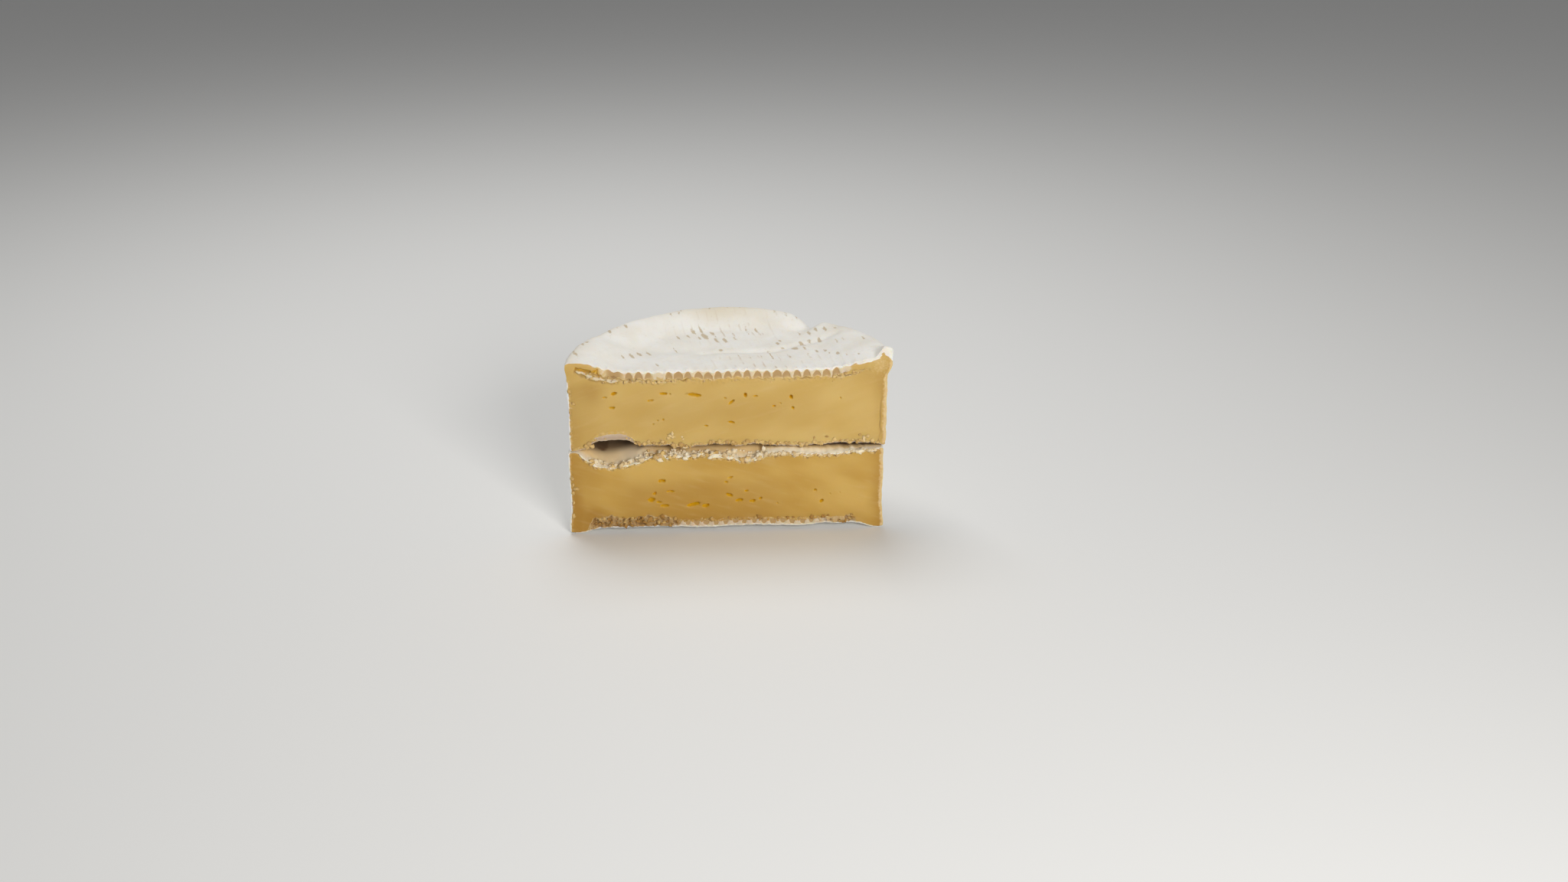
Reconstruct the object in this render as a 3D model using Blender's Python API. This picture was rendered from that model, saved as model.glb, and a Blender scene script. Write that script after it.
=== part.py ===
# Camembert wheel, cut straight across, its two half wheels stacked with the cut faces flush.
# Metres, +Z up. X runs along the cut, Y from the cut face to the round back, and the origin is
# the middle of the bounding box on the surface that the cheese rests on.
import math

import bmesh
import bpy
from mathutils import Matrix, Vector, noise

MM = 0.001

# Driving dimensions
WHEEL_RADIUS = 53.4 * MM
RIM_ROUNDING = 3.0 * MM  # of the top and bottom edges, at the back
SEAM_ROUNDING = 1.6 * MM  # of the edges where the halves meet
CUT_ROUNDING = 0.4  # share of each rounding that is left at the ends of the cut
CENTRE_HEIGHT = 59.3 * MM  # top of the sunken middle
CONTACT_HEIGHT = 30.55 * MM  # where one half lies on the other
CONTACT_GAP = 0.3 * MM
CUT_FACE_Y = -26.58 * MM  # the plane of the cut, at the front
CUT_MIDDLE_X = -0.54 * MM  # the middle of the cut, beside the middle of the box
UPPER_SHIFT = 0.4 * MM  # how far to the right of it each half lies
LOWER_SHIFT = -0.4 * MM

# The ripening mat's straws, pressed into the rind from front to back
MAT_PITCH = 3.29 * MM
MAT_DEPTH = 0.14 * MM
MAT_CUT_DEPTH = 0.34 * MM  # deeper where the knife has dragged the rind
MAT_LEAN = math.radians(12)

# How far the rim stands above the sunken middle, from the right end of the cut round the back
# to its left end: (angle in degrees, lift in mm). The low place at 53 degrees is a fold.
RIM_LIFTS = (
    (0, 3.2),
    (14, 4.8),
    (28, 4.3),
    (46, 3.4),
    (53, 0.7),
    (62, 4.3),
    (78, 4.7),
    (104, 4.8),
    (124, 4.1),
    (142, 3.8),
    (160, 4.2),
    (180, 3.2),
)
RIM_WIDTH = 18 * MM  # how far in the rim's slope reaches, at the cut
BACK_RIM_WIDTH = 12 * MM
HORN_HEIGHT = 4.2 * MM  # the rind's point at the right end of the cut
HORN_FLARE = 1.9 * MM
LEFT_FLARE = 0.4 * MM
CREASE_DEPTH = 0.6 * MM
VALLEY_DEPTH = 0.8 * MM

# Edges of the two cut faces, away from their ends
SEAM_ARCH = 1.4 * MM  # the upper half's lower edge bows up this far
SEAM_HOLE_LEFT = -50 * MM  # the open hollow between the halves
SEAM_HOLE_RIGHT = -27 * MM
SEAM_HOLE_SLOPE = 9 * MM
SEAM_HOLE_RISE = 2.2 * MM
SEAM_HOLE_DIP = 3.8 * MM
EDGE_DEPTH = 8 * MM  # how far back the edges' sag and arch reach
LOWER_SAG = 2.3 * MM  # the lower half's upper edge has sunk this far
BASE_ARCH = 2.0 * MM  # and its lower edge has lifted off the surface
BASE_FLARE = 0.6 * MM

# How finely each stretch is divided
TOP_ROWS = 11
HIDDEN_ROWS = 6
TOP_CROWDING = 1.3  # above 1 sets a sheet's rows closer at the cut
HIDDEN_CROWDING = 2
ROUNDING_ROWS = 3
SIDE_ROWS = 3
END_ANGLES = [math.radians(angle) for angle in (0, 6, 12, 18, 23.5)]
MAT_COLUMNS = 27  # half straws to each side of the middle

# Holes in the paste, in mm along the cut from its middle, height, width, the hole's own height
# and its tilt in degrees
UPPER_EYES = (
    (-37.6, 51.3, 2.2, 1.2, 25),
    (-38.4, 46.3, 2.2, 1.0, 0),
    (-21.1, 51.1, 2.6, 1.0, 0),
    (-10.9, 50.5, 5.2, 1.4, -8),
    (1.6, 47.7, 2.6, 1.0, 40),
    (6.2, 50.1, 1.2, 1.7, 0),
    (21.6, 49.1, 1.2, 1.6, 0),
    (1.4, 40.4, 2.4, 0.9, -10),
)
UPPER_TEAR = (-43.5, 59.0, 11.0, 1.2, -12)
LOWER_EYES = (
    (-22.5, 19.2, 2.7, 1.2, 0),
    (-19.6, 15.2, 2.7, 0.9, 0),
    (-26.2, 12.2, 2.6, 1.7, 15),
    (-21.7, 9.9, 2.9, 1.2, 0),
    (-11.9, 10.2, 5.0, 1.5, 12),
    (-7.6, 9.6, 2.9, 1.4, 10),
    (0.6, 13.4, 2.6, 1.2, -25),
    (3.8, 11.4, 2.6, 1.2, 5),
    (8.3, 11.0, 2.3, 1.2, 5),
    (32.1, 10.5, 1.5, 1.3, 30),
)
EYE_DEPTH = 1.1 * MM

RIND_COLOUR = (0.78, 0.75, 0.67, 1)
PASTE_COLOUR = (0.56, 0.37, 0.11, 1)


def smooth(value, start, end):
    """0 before start, 1 after end and an S between them."""
    share = min(max((value - start) / (end - start), 0.0), 1.0)
    return share * share * (3 - 2 * share)


def bump(distance, width):
    return math.exp(-((distance / width) ** 2))


def lumps(x, y, z, size, height):
    """Uneven relief, with lumps about as wide as size."""
    return height * noise.noise(Vector((x, y, z)) / size)


def distance_to_line(x, y, points):
    """Distance from (x, y) to a line through the points."""
    place = Vector((x, y))
    gaps = []
    for start, end in zip(points, points[1:]):
        along = end - start
        share = (place - start).dot(along) / along.length_squared
        gaps.append((place - start - along * min(max(share, 0.0), 1.0)).length)
    return min(gaps)


def route(*points):
    return [Vector(point) * MM for point in points]


CREASE = route((-8, 17.5), (16, 17.3), (25, 24), (38, 26.5))
LEFT_VALLEY = route((-40, 25), (-24, 20.5), (-8, 19.5))


def rim_lift(angle):
    degrees = math.degrees(angle)
    for (start, low), (end, high) in zip(RIM_LIFTS, RIM_LIFTS[1:]):
        if degrees <= end:
            return (low + (high - low) * smooth(degrees, start, end)) * MM
    return RIM_LIFTS[-1][1] * MM


def wheel_top(x, y):
    """Height of the wheel's sunken, folded top, measured from the floor."""
    radius, angle = math.hypot(x, y), math.atan2(y, x)
    width = RIM_WIDTH + (BACK_RIM_WIDTH - RIM_WIDTH) * smooth(math.sin(angle), 0.3, 0.8)
    slope = smooth(radius, WHEEL_RADIUS - 3 * MM - width, WHEEL_RADIUS - 3 * MM)
    height = CENTRE_HEIGHT + rim_lift(angle) * slope
    height -= CREASE_DEPTH * bump(distance_to_line(x, y, CREASE), 1.7 * MM)
    height -= VALLEY_DEPTH * bump(distance_to_line(x, y, LEFT_VALLEY), 4 * MM)
    height += HORN_HEIGHT * smooth(x, 48.6 * MM, 53 * MM) * (1 - smooth(y, 0, 9 * MM))
    return height + lumps(x, y, 0, 9 * MM, 0.35 * MM)


def mat_print(across, x, y):
    """The mat's straws stand as ridges, deepest at the cut, and fade towards the rim."""
    fade = 1 - smooth(math.hypot(x, y), 42 * MM, 49 * MM)
    depth = MAT_DEPTH + (MAT_CUT_DEPTH - MAT_DEPTH) * (1 - smooth(y, 0, 3 * MM))
    return depth * fade * math.cos(2 * math.pi * across / MAT_PITCH)


def seam_hole(x, y):
    """1 inside the open hollow between the halves, 0 outside it."""
    left = smooth(x, SEAM_HOLE_LEFT, SEAM_HOLE_LEFT + SEAM_HOLE_SLOPE)
    right = smooth(x, SEAM_HOLE_RIGHT - SEAM_HOLE_SLOPE, SEAM_HOLE_RIGHT)
    return left * (1 - right) * (1 - smooth(y, 3 * MM, 20 * MM))


def edge_share(x, y, start):
    """1 along the middle of a cut edge, 0 at its ends from start outwards and further back."""
    return (1 - smooth(abs(x), start, 50 * MM)) * (1 - smooth(y, 0, EDGE_DEPTH))


def upper_underside(x, y):
    """It bows up at the cut, most over the open hollow, and lies flat further back."""
    rise = SEAM_ARCH * edge_share(x, y, 34 * MM) + SEAM_HOLE_RISE * seam_hole(x, y)
    return CONTACT_HEIGHT + CONTACT_GAP / 2 + rise


def lower_top(x, y):
    dip = LOWER_SAG * edge_share(x, y, 30 * MM) + SEAM_HOLE_DIP * seam_hole(x, y)
    return CONTACT_HEIGHT - CONTACT_GAP / 2 - dip


def lower_underside(x, y):
    at_cut = 1 - smooth(y, 1 * MM, 16 * MM)
    inside = 1 - smooth(abs(x), 40 * MM, 50 * MM)
    return BASE_ARCH * at_cut * inside


def upper_flare(x, height):
    """The rind's upper edge turns outwards at the ends of the cut."""
    near_top = smooth(height, 56 * MM, 61 * MM)
    right, left = smooth(x, 42 * MM, 53 * MM), smooth(-x, 45 * MM, 53 * MM)
    return near_top * (HORN_FLARE * right + LEFT_FLARE * left)


def lower_flare(x, height):
    """The foot of the wheel has spread under its own weight."""
    return BASE_FLARE * (1 - smooth(height, 2 * MM, 9 * MM)) * smooth(abs(x), 42 * MM, 53 * MM)


def cut_relief(x, z, top, bottom):
    """The cut face: a soft swell in the paste, and a crumbly crust along its edges."""
    edge = 1 - smooth(min(top - z, z - bottom), 1 * MM, 4 * MM)
    return lumps(x, 0, z, 15 * MM, 0.25 * MM) + edge * lumps(x, 9, z, 2.6 * MM, 0.45 * MM)


def columns():
    """Angles of the columns along the cut, two to each straw of the mat and closer at the ends."""
    ring = WHEEL_RADIUS - RIM_ROUNDING
    steps = range(MAT_COLUMNS, -MAT_COLUMNS - 1, -1)
    middle = [math.acos(step * MAT_PITCH / 2 / ring) for step in steps]
    return END_ANGLES + middle + [math.pi - angle for angle in reversed(END_ANGLES)]


def rounding_at(angle, rounding):
    return rounding * (CUT_ROUNDING + (1 - CUT_ROUNDING) * smooth(math.sin(angle), 0, 0.5))


def leaned(angle):
    """Where a column that starts at this angle on the cut ends on the round back."""
    return angle + MAT_LEAN * math.sin(angle)


def sheet_point(angle, share, rounding):
    """A point of the top or underside, from the cut to the ring where the rim's rounding starts."""
    front_ring = WHEEL_RADIUS - rounding_at(angle, rounding)
    back = leaned(angle)
    back_ring = WHEEL_RADIUS - rounding_at(back, rounding)
    front_point = Vector((front_ring * math.cos(angle), 0))
    back_point = Vector((back_ring * math.cos(back), back_ring * math.sin(back)))
    return front_point.lerp(back_point, share)


def rim_profile(half, angle, top, bottom):
    """The rim from its top ring to its bottom ring: (inset, height, share of the rim's relief)."""
    turns = [math.pi / 2 * step / ROUNDING_ROWS for step in range(ROUNDING_ROWS + 1)]
    high, low = rounding_at(angle, half["top_rounding"]), rounding_at(angle, half["low_rounding"])
    rows = [(high * (1 - math.sin(t)), top - high * (1 - math.cos(t)), math.sin(t)) for t in turns]
    side = top - high - bottom - low
    rows += [(0.0, top - high - side * step / SIDE_ROWS, 1.0) for step in range(1, SIDE_ROWS)]
    turns.reverse()
    return rows + [
        (low * (1 - math.sin(t)), bottom + low * (1 - math.cos(t)), math.sin(t)) for t in turns
    ]


def rim_radius(half, angle, row):
    inset, height, share = row
    x, y = math.cos(angle) * WHEEL_RADIUS, math.sin(angle) * WHEEL_RADIUS
    away = smooth(y, 0, 6 * MM)
    uneven = lumps(x, y, height, 10 * MM, 0.5 * MM) * away + lumps(x, y, height, 4 * MM, 0.3 * MM)
    return WHEEL_RADIUS - inset + share * (half["flare"](x, height) + uneven)


def grid(bm, across, down):
    """A flat grid, given back as rows of its vertices."""
    made = bmesh.ops.create_grid(bm, x_segments=across, y_segments=down, size=1)["verts"]
    made.sort(key=lambda vertex: (-round(vertex.co.y, 5), round(vertex.co.x, 5)))
    return [made[row * (across + 1) : (row + 1) * (across + 1)] for row in range(down + 1)]


def shape_skin(half, skin, angles):
    """Bends the skin's grid over the top, down the rim and back under to the cut."""
    top_rows = half["top_rows"]
    for column, angle in enumerate(angles):
        back = leaned(angle)
        rim_top = half["top"](*sheet_point(angle, 1, half["top_rounding"]))
        rim_bottom = half["underside"](*sheet_point(angle, 1, half["low_rounding"]))
        for step in range(top_rows):
            x, y = sheet_point(angle, (step / top_rows) ** half["crowding"], half["top_rounding"])
            across = (WHEEL_RADIUS - RIM_ROUNDING) * math.cos(angle)
            straw = half["printed"] * mat_print(across, x, y)
            skin[step][column].co = (x, y, half["top"](x, y) + straw)
        profile = rim_profile(half, back, rim_top, rim_bottom)
        for step, row in enumerate(profile):
            radius = rim_radius(half, back, row)
            place = (radius * math.cos(back), radius * abs(math.sin(back)), row[1])
            skin[top_rows + step][column].co = place
        for step in range(1, HIDDEN_ROWS + 1):
            share = (1 - step / HIDDEN_ROWS) ** HIDDEN_CROWDING
            x, y = sheet_point(angle, share, half["low_rounding"])
            skin[top_rows + len(profile) - 1 + step][column].co = (x, y, half["underside"](x, y))


def shape_face(half, face, skin, angles):
    """Fits the cut face's grid to the skin's front edges and to its two ends."""
    ends = [[skin[half["top_rows"] + step][end].co for step in range(len(face))] for end in (0, -1)]
    for column, angle in enumerate(angles):
        high, low = skin[0][column].co, skin[-1][column].co
        end = ends[0] if column < len(angles) / 2 else ends[1]
        pull = abs(math.cos(angle)) ** 8
        profile = rim_profile(half, 0, high.z, low.z)
        for step, row in enumerate(profile):
            share = step / (len(profile) - 1)
            across = high.x + (low.x - high.x) * share
            end_across = end[0].x + (end[-1].x - end[0].x) * share
            face[step][column].co = (across + pull * (end[step].x - end_across), 0, row[1])
    for step in range(len(face)):
        face[step][0].co, face[step][-1].co = ends[0][step], ends[1][step]
    for column in range(len(angles)):
        face[0][column].co, face[-1][column].co = skin[0][column].co, skin[-1][column].co


def half_wheel(half):
    """One half wheel: a skin over the top, down the rim and under, and the cut face in front."""
    angles = columns()
    rim_rows = len(rim_profile(half, 0, 1, 0))
    bm = bmesh.new()
    skin = grid(bm, len(angles) - 1, half["top_rows"] + rim_rows - 1 + HIDDEN_ROWS)
    skin_faces = len(bm.faces)
    face = grid(bm, len(angles) - 1, rim_rows - 1)
    shape_skin(half, skin, angles)
    shape_face(half, face, skin, angles)
    bm.faces.ensure_lookup_table()
    for around in bm.faces[skin_faces:]:
        around.material_index = 1
    bmesh.ops.remove_doubles(bm, verts=bm.verts, dist=0.001 * MM)
    bmesh.ops.dissolve_degenerate(bm, edges=bm.edges, dist=0.001 * MM)
    for vertex in bm.verts:
        x, y, z = vertex.co
        if y < 0.001 * MM:
            vertex.co.y = -cut_relief(x, z, half["top"](x, 0), half["underside"](x, 0))
    bmesh.ops.recalc_face_normals(bm, faces=bm.faces)
    mesh = bpy.data.meshes.new(half["name"])
    bm.to_mesh(mesh)
    bm.free()
    mesh.shade_smooth()
    mesh.set_sharp_from_angle(angle=math.radians(40))
    return mesh


def material(name, colour, roughness):
    made = bpy.data.materials.new(name)
    made.use_nodes = True
    shader = made.node_tree.nodes["Principled BSDF"]
    shader.inputs["Base Color"].default_value = colour
    shader.inputs["Roughness"].default_value = roughness
    shader.inputs["Subsurface Weight"].default_value = 0.2
    shader.inputs["Subsurface Scale"].default_value = 2 * MM
    return made


def collection(name):
    made = bpy.data.collections.new(name)
    bpy.context.scene.collection.children.link(made)
    return made


def eye_cutters(name, holes, paste):
    """Flattened balls set in the plane of the cut, in a collection that the half is cut by."""
    cutters = collection(name)
    cutters.hide_render = True
    for number, (x, z, width, height, tilt) in enumerate(holes):
        bm = bmesh.new()
        bmesh.ops.create_icosphere(bm, subdivisions=2, radius=1)
        size = Matrix.Diagonal((width / 2 * MM, EYE_DEPTH, height / 2 * MM, 1))
        turn = Matrix.Rotation(-math.radians(tilt), 4, "Y")
        bmesh.ops.transform(bm, matrix=turn @ size, verts=bm.verts)
        mesh = bpy.data.meshes.new(f"{name} {number + 1}")
        bm.to_mesh(mesh)
        bm.free()
        mesh.materials.append(paste)
        cutter = bpy.data.objects.new(mesh.name, mesh)
        cutter.location = (CUT_MIDDLE_X + x * MM, CUT_FACE_Y, z * MM)
        cutter.hide_render = True
        cutter.display_type = "WIRE"
        cutters.objects.link(cutter)
    return cutters


def add_half(half, rind, paste, into):
    mesh = half_wheel(half)
    mesh.materials.append(rind)
    mesh.materials.append(paste)
    made = bpy.data.objects.new(half["name"], mesh)
    made.location = (CUT_MIDDLE_X + half["shift"], CUT_FACE_Y, 0)
    into.objects.link(made)
    cut = made.modifiers.new("holes in the paste", "BOOLEAN")
    cut.operand_type = "COLLECTION"
    cut.collection = eye_cutters(half["name"] + " holes", half["holes"], paste)
    cut.operation = "DIFFERENCE"


UPPER_HALF = {
    "name": "upper_half",
    "top": wheel_top,
    "underside": upper_underside,
    "flare": upper_flare,
    "top_rounding": RIM_ROUNDING,
    "low_rounding": SEAM_ROUNDING,
    "top_rows": TOP_ROWS,
    "crowding": TOP_CROWDING,
    "printed": True,
    "shift": UPPER_SHIFT,
    "holes": UPPER_EYES + (UPPER_TEAR,),
}
LOWER_HALF = {
    "name": "lower_half",
    "top": lower_top,
    "underside": lower_underside,
    "flare": lower_flare,
    "top_rounding": SEAM_ROUNDING,
    "low_rounding": RIM_ROUNDING,
    "top_rows": HIDDEN_ROWS,
    "crowding": HIDDEN_CROWDING,
    "printed": False,
    "shift": LOWER_SHIFT,
    "holes": LOWER_EYES,
}


def main():
    for old in list(bpy.data.objects):
        bpy.data.objects.remove(old)
    rind = material("white rind", RIND_COLOUR, 0.9)
    paste = material("straw paste", PASTE_COLOUR, 0.5)
    wheel = collection("camembert wheel")
    add_half(UPPER_HALF, rind, paste, wheel)
    add_half(LOWER_HALF, rind, paste, wheel)


main()
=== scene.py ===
import math

import bmesh
import bpy
import numpy as np
from mathutils import Euler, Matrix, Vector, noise


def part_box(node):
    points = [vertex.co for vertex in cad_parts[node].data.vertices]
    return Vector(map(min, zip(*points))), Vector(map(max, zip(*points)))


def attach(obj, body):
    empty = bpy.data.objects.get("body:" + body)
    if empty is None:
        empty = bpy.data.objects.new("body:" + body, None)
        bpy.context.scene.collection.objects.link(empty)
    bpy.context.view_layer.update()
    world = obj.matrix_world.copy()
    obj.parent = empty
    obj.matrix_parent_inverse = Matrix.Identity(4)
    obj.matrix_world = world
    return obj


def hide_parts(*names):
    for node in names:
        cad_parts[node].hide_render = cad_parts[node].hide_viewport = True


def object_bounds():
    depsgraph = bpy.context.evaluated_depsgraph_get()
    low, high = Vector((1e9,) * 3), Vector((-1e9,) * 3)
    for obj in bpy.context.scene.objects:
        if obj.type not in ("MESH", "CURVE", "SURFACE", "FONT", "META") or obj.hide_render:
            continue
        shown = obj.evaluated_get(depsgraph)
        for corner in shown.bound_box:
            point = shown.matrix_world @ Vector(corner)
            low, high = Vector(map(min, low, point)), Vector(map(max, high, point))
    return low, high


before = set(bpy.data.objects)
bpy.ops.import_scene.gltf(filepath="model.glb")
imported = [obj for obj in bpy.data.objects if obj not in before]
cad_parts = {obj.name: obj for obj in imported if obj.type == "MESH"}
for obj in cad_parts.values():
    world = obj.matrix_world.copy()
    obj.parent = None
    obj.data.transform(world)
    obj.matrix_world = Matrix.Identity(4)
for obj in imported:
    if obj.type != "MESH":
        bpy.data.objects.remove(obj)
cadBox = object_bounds()
print("frame loaded")

# Shapes are worked out in mm, in the own frame of each half wheel: x along the cut from its
# middle, y from the cut back, z up from the floor. The meshes are scaled to metres at the end.
mm = 0.001

# The photo's view, fitted to the outline of the cheese
shot = {
    "place": (-7.64, -550.88, 256.3),
    "turn": (66.97, 0, -2.87),  # degrees
    "lens": 38.67,
    "sensor": 36,
}

studio = {
    "floorColour": (0.86, 0.86, 0.85, 1),
    "worldColour": (1.0, 1.0, 1.0, 1),
    "worldStrength": 0.19,
    # name: (place in m, aimed at, size in m, power in W, colour)
    "lamps": {
        "softBack": ((-0.10, 0.24, 0.62), (0, 0, 0.05), 0.4, 2.05, (1.0, 0.995, 0.98)),
        "softFront": ((0.26, -0.72, 0.36), (0, 0, 0.03), 0.3, 4.15, (1.0, 0.98, 0.95)),
    },
}

wheel = {
    "radius": 53.4,
    "rimRounding": 3.0,
    "seamRounding": 1.6,
    "cutRounding": 0.4,  # share of each rounding that is left at the ends of the cut
    "centreHeight": 59.3,
    "contactHeight": 30.55,
    "contactGap": 0.3,
    "cutY": -26.58,
    "cutMiddleX": -0.54,
    "matPitch": 3.29,
    "matDepth": 0.05,
    "matCutDepth": 0.34,
    "matLean": math.radians(12),
    # degrees round the back from the right end of the cut, lift of the rim
    "rimLifts": (
        (0, 3.2), (14, 4.8), (28, 4.3), (46, 3.4), (53, 0.7), (64.5, 4.2),
        (78, 4.7), (104, 4.8), (124, 4.1), (142, 3.8), (160, 4.2), (180, 3.2),
    ),
    "rimWidth": 18,
    "backRimWidth": 12,
    "hornHeight": 4.2,
    "hornFlare": 1.9,
    "leftFlare": 0.4,
    "baseFlare": 0.6,
    "edgeDepth": 8,
    # folds of the top: points of the line, depth, width
    "folds": (
        (((-8, 17.5), (16, 17.3), (25, 24), (38, 26.5)), 0.6, 1.5),
        (((-40, 25), (-24, 20.5), (-8, 19.5)), 0.8, 4),
        (((31.5, 44.7), (28.2, 40), (23.1, 37.8), (17.9, 39.6), (12.3, 43.1)), 0.9, 2.2),
    ),
    "hollowSpan": (-50, -41, -36, -27),  # the open hollow starts, is full, ebbs and ends
    "hollowBack": (3, 20),
    "curdsSag": (-48, -44, -28, -20),
}

detail = {
    "columns": 280,
    "topRows": 90,
    "rimRows": 76,
    "hiddenRows": 24,
    "columnCrowding": 0.3,
    "rimCrowding": 0.06,
    "hiddenCrowding": 2.2,
    "edgeRound": 0.7,
    "reliefLimits": (-0.9, 0.42),
    # where each tone of the rind and the paste lies
    "marks": (
        "mould", "crust", "tongue", "crack", "gold", "dusk", "tan", "worn", "lines",
        "cream", "ripeAndShade", "deep", "sheet",
    ),
}


def smooth(value, start, end):
    share = np.clip((value - start) / (end - start), 0, 1)
    return share * share * (3 - 2 * share)


def fade(value, start, end):
    return 1 - smooth(value, start, end)


# 0 outside, 1 from full to ebb
def between(value, start, full, ebb, end):
    return smooth(value, start, full) * fade(value, ebb, end)


def bump(distance, width):
    return np.exp(-((distance / width) ** 2))


def lumps(x, y, z, size, height):
    x, y, z = np.broadcast_arrays(x, y, z)
    places = (np.stack([x, y, z], axis=-1) / size).reshape(-1, 3).tolist()
    return height * np.array([noise.noise(place) for place in places]).reshape(x.shape)


# A smooth curve through the points, held level past its ends
def through(x, points):
    px, pz = np.array(points, float).T
    slope = np.gradient(pz, px)
    step = np.clip(np.searchsorted(px, x) - 1, 0, len(px) - 2)
    width = px[step + 1] - px[step]
    t = np.clip((x - px[step]) / width, 0, 1)
    start = pz[step] * (2 * t**3 - 3 * t**2 + 1) + slope[step] * width * (t**3 - 2 * t**2 + t)
    return start + pz[step + 1] * (3 * t**2 - 2 * t**3) + slope[step + 1] * width * (t**3 - t**2)


def lineDistance(x, y, points):
    nearest = np.full(np.shape(x), 1e9)
    for (ax, ay), (bx, by) in zip(points, points[1:]):
        dx, dy = bx - ax, by - ay
        share = np.clip(((x - ax) * dx + (y - ay) * dy) / (dx * dx + dy * dy), 0, 1)
        nearest = np.minimum(nearest, np.hypot(x - ax - dx * share, y - ay - dy * share))
    return nearest


def rimLift(angle):
    degrees = np.degrees(angle)
    lift = np.full(np.shape(angle), float(wheel["rimLifts"][0][1]))
    for (start, low), (end, high) in zip(wheel["rimLifts"], wheel["rimLifts"][1:]):
        lift += (high - low) * smooth(degrees, start, end)
    return lift


def wheelTop(x, y):
    radius, angle = np.hypot(x, y), np.arctan2(y, x)
    back = smooth(np.sin(angle), 0.3, 0.8)
    width = wheel["rimWidth"] + (wheel["backRimWidth"] - wheel["rimWidth"]) * back
    slope = smooth(radius, wheel["radius"] - 3 - width, wheel["radius"] - 3)
    height = wheel["centreHeight"] + rimLift(angle) * slope
    for points, depth, reach in wheel["folds"]:
        height -= depth * bump(lineDistance(x, y, points), reach)
    height += wheel["hornHeight"] * smooth(x, 48.6, 53) * fade(y, 0, 9)
    return height + lumps(x, y, 0, 9, 0.35) + lumps(x, y, 5, 3.2, 0.09)


# The mat's straws stand as ridges, deepest at the cut, and fade towards the rim
def matPrint(across, x, y):
    inside = fade(np.hypot(x, y), 42, 49)
    depth = wheel["matDepth"] + (wheel["matCutDepth"] - wheel["matDepth"]) * fade(y, 0, 3)
    patchy = 0.75 + lumps(x, y, 20, 7, 0.5)
    return depth * inside * patchy * np.cos(2 * np.pi * across / wheel["matPitch"])


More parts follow.
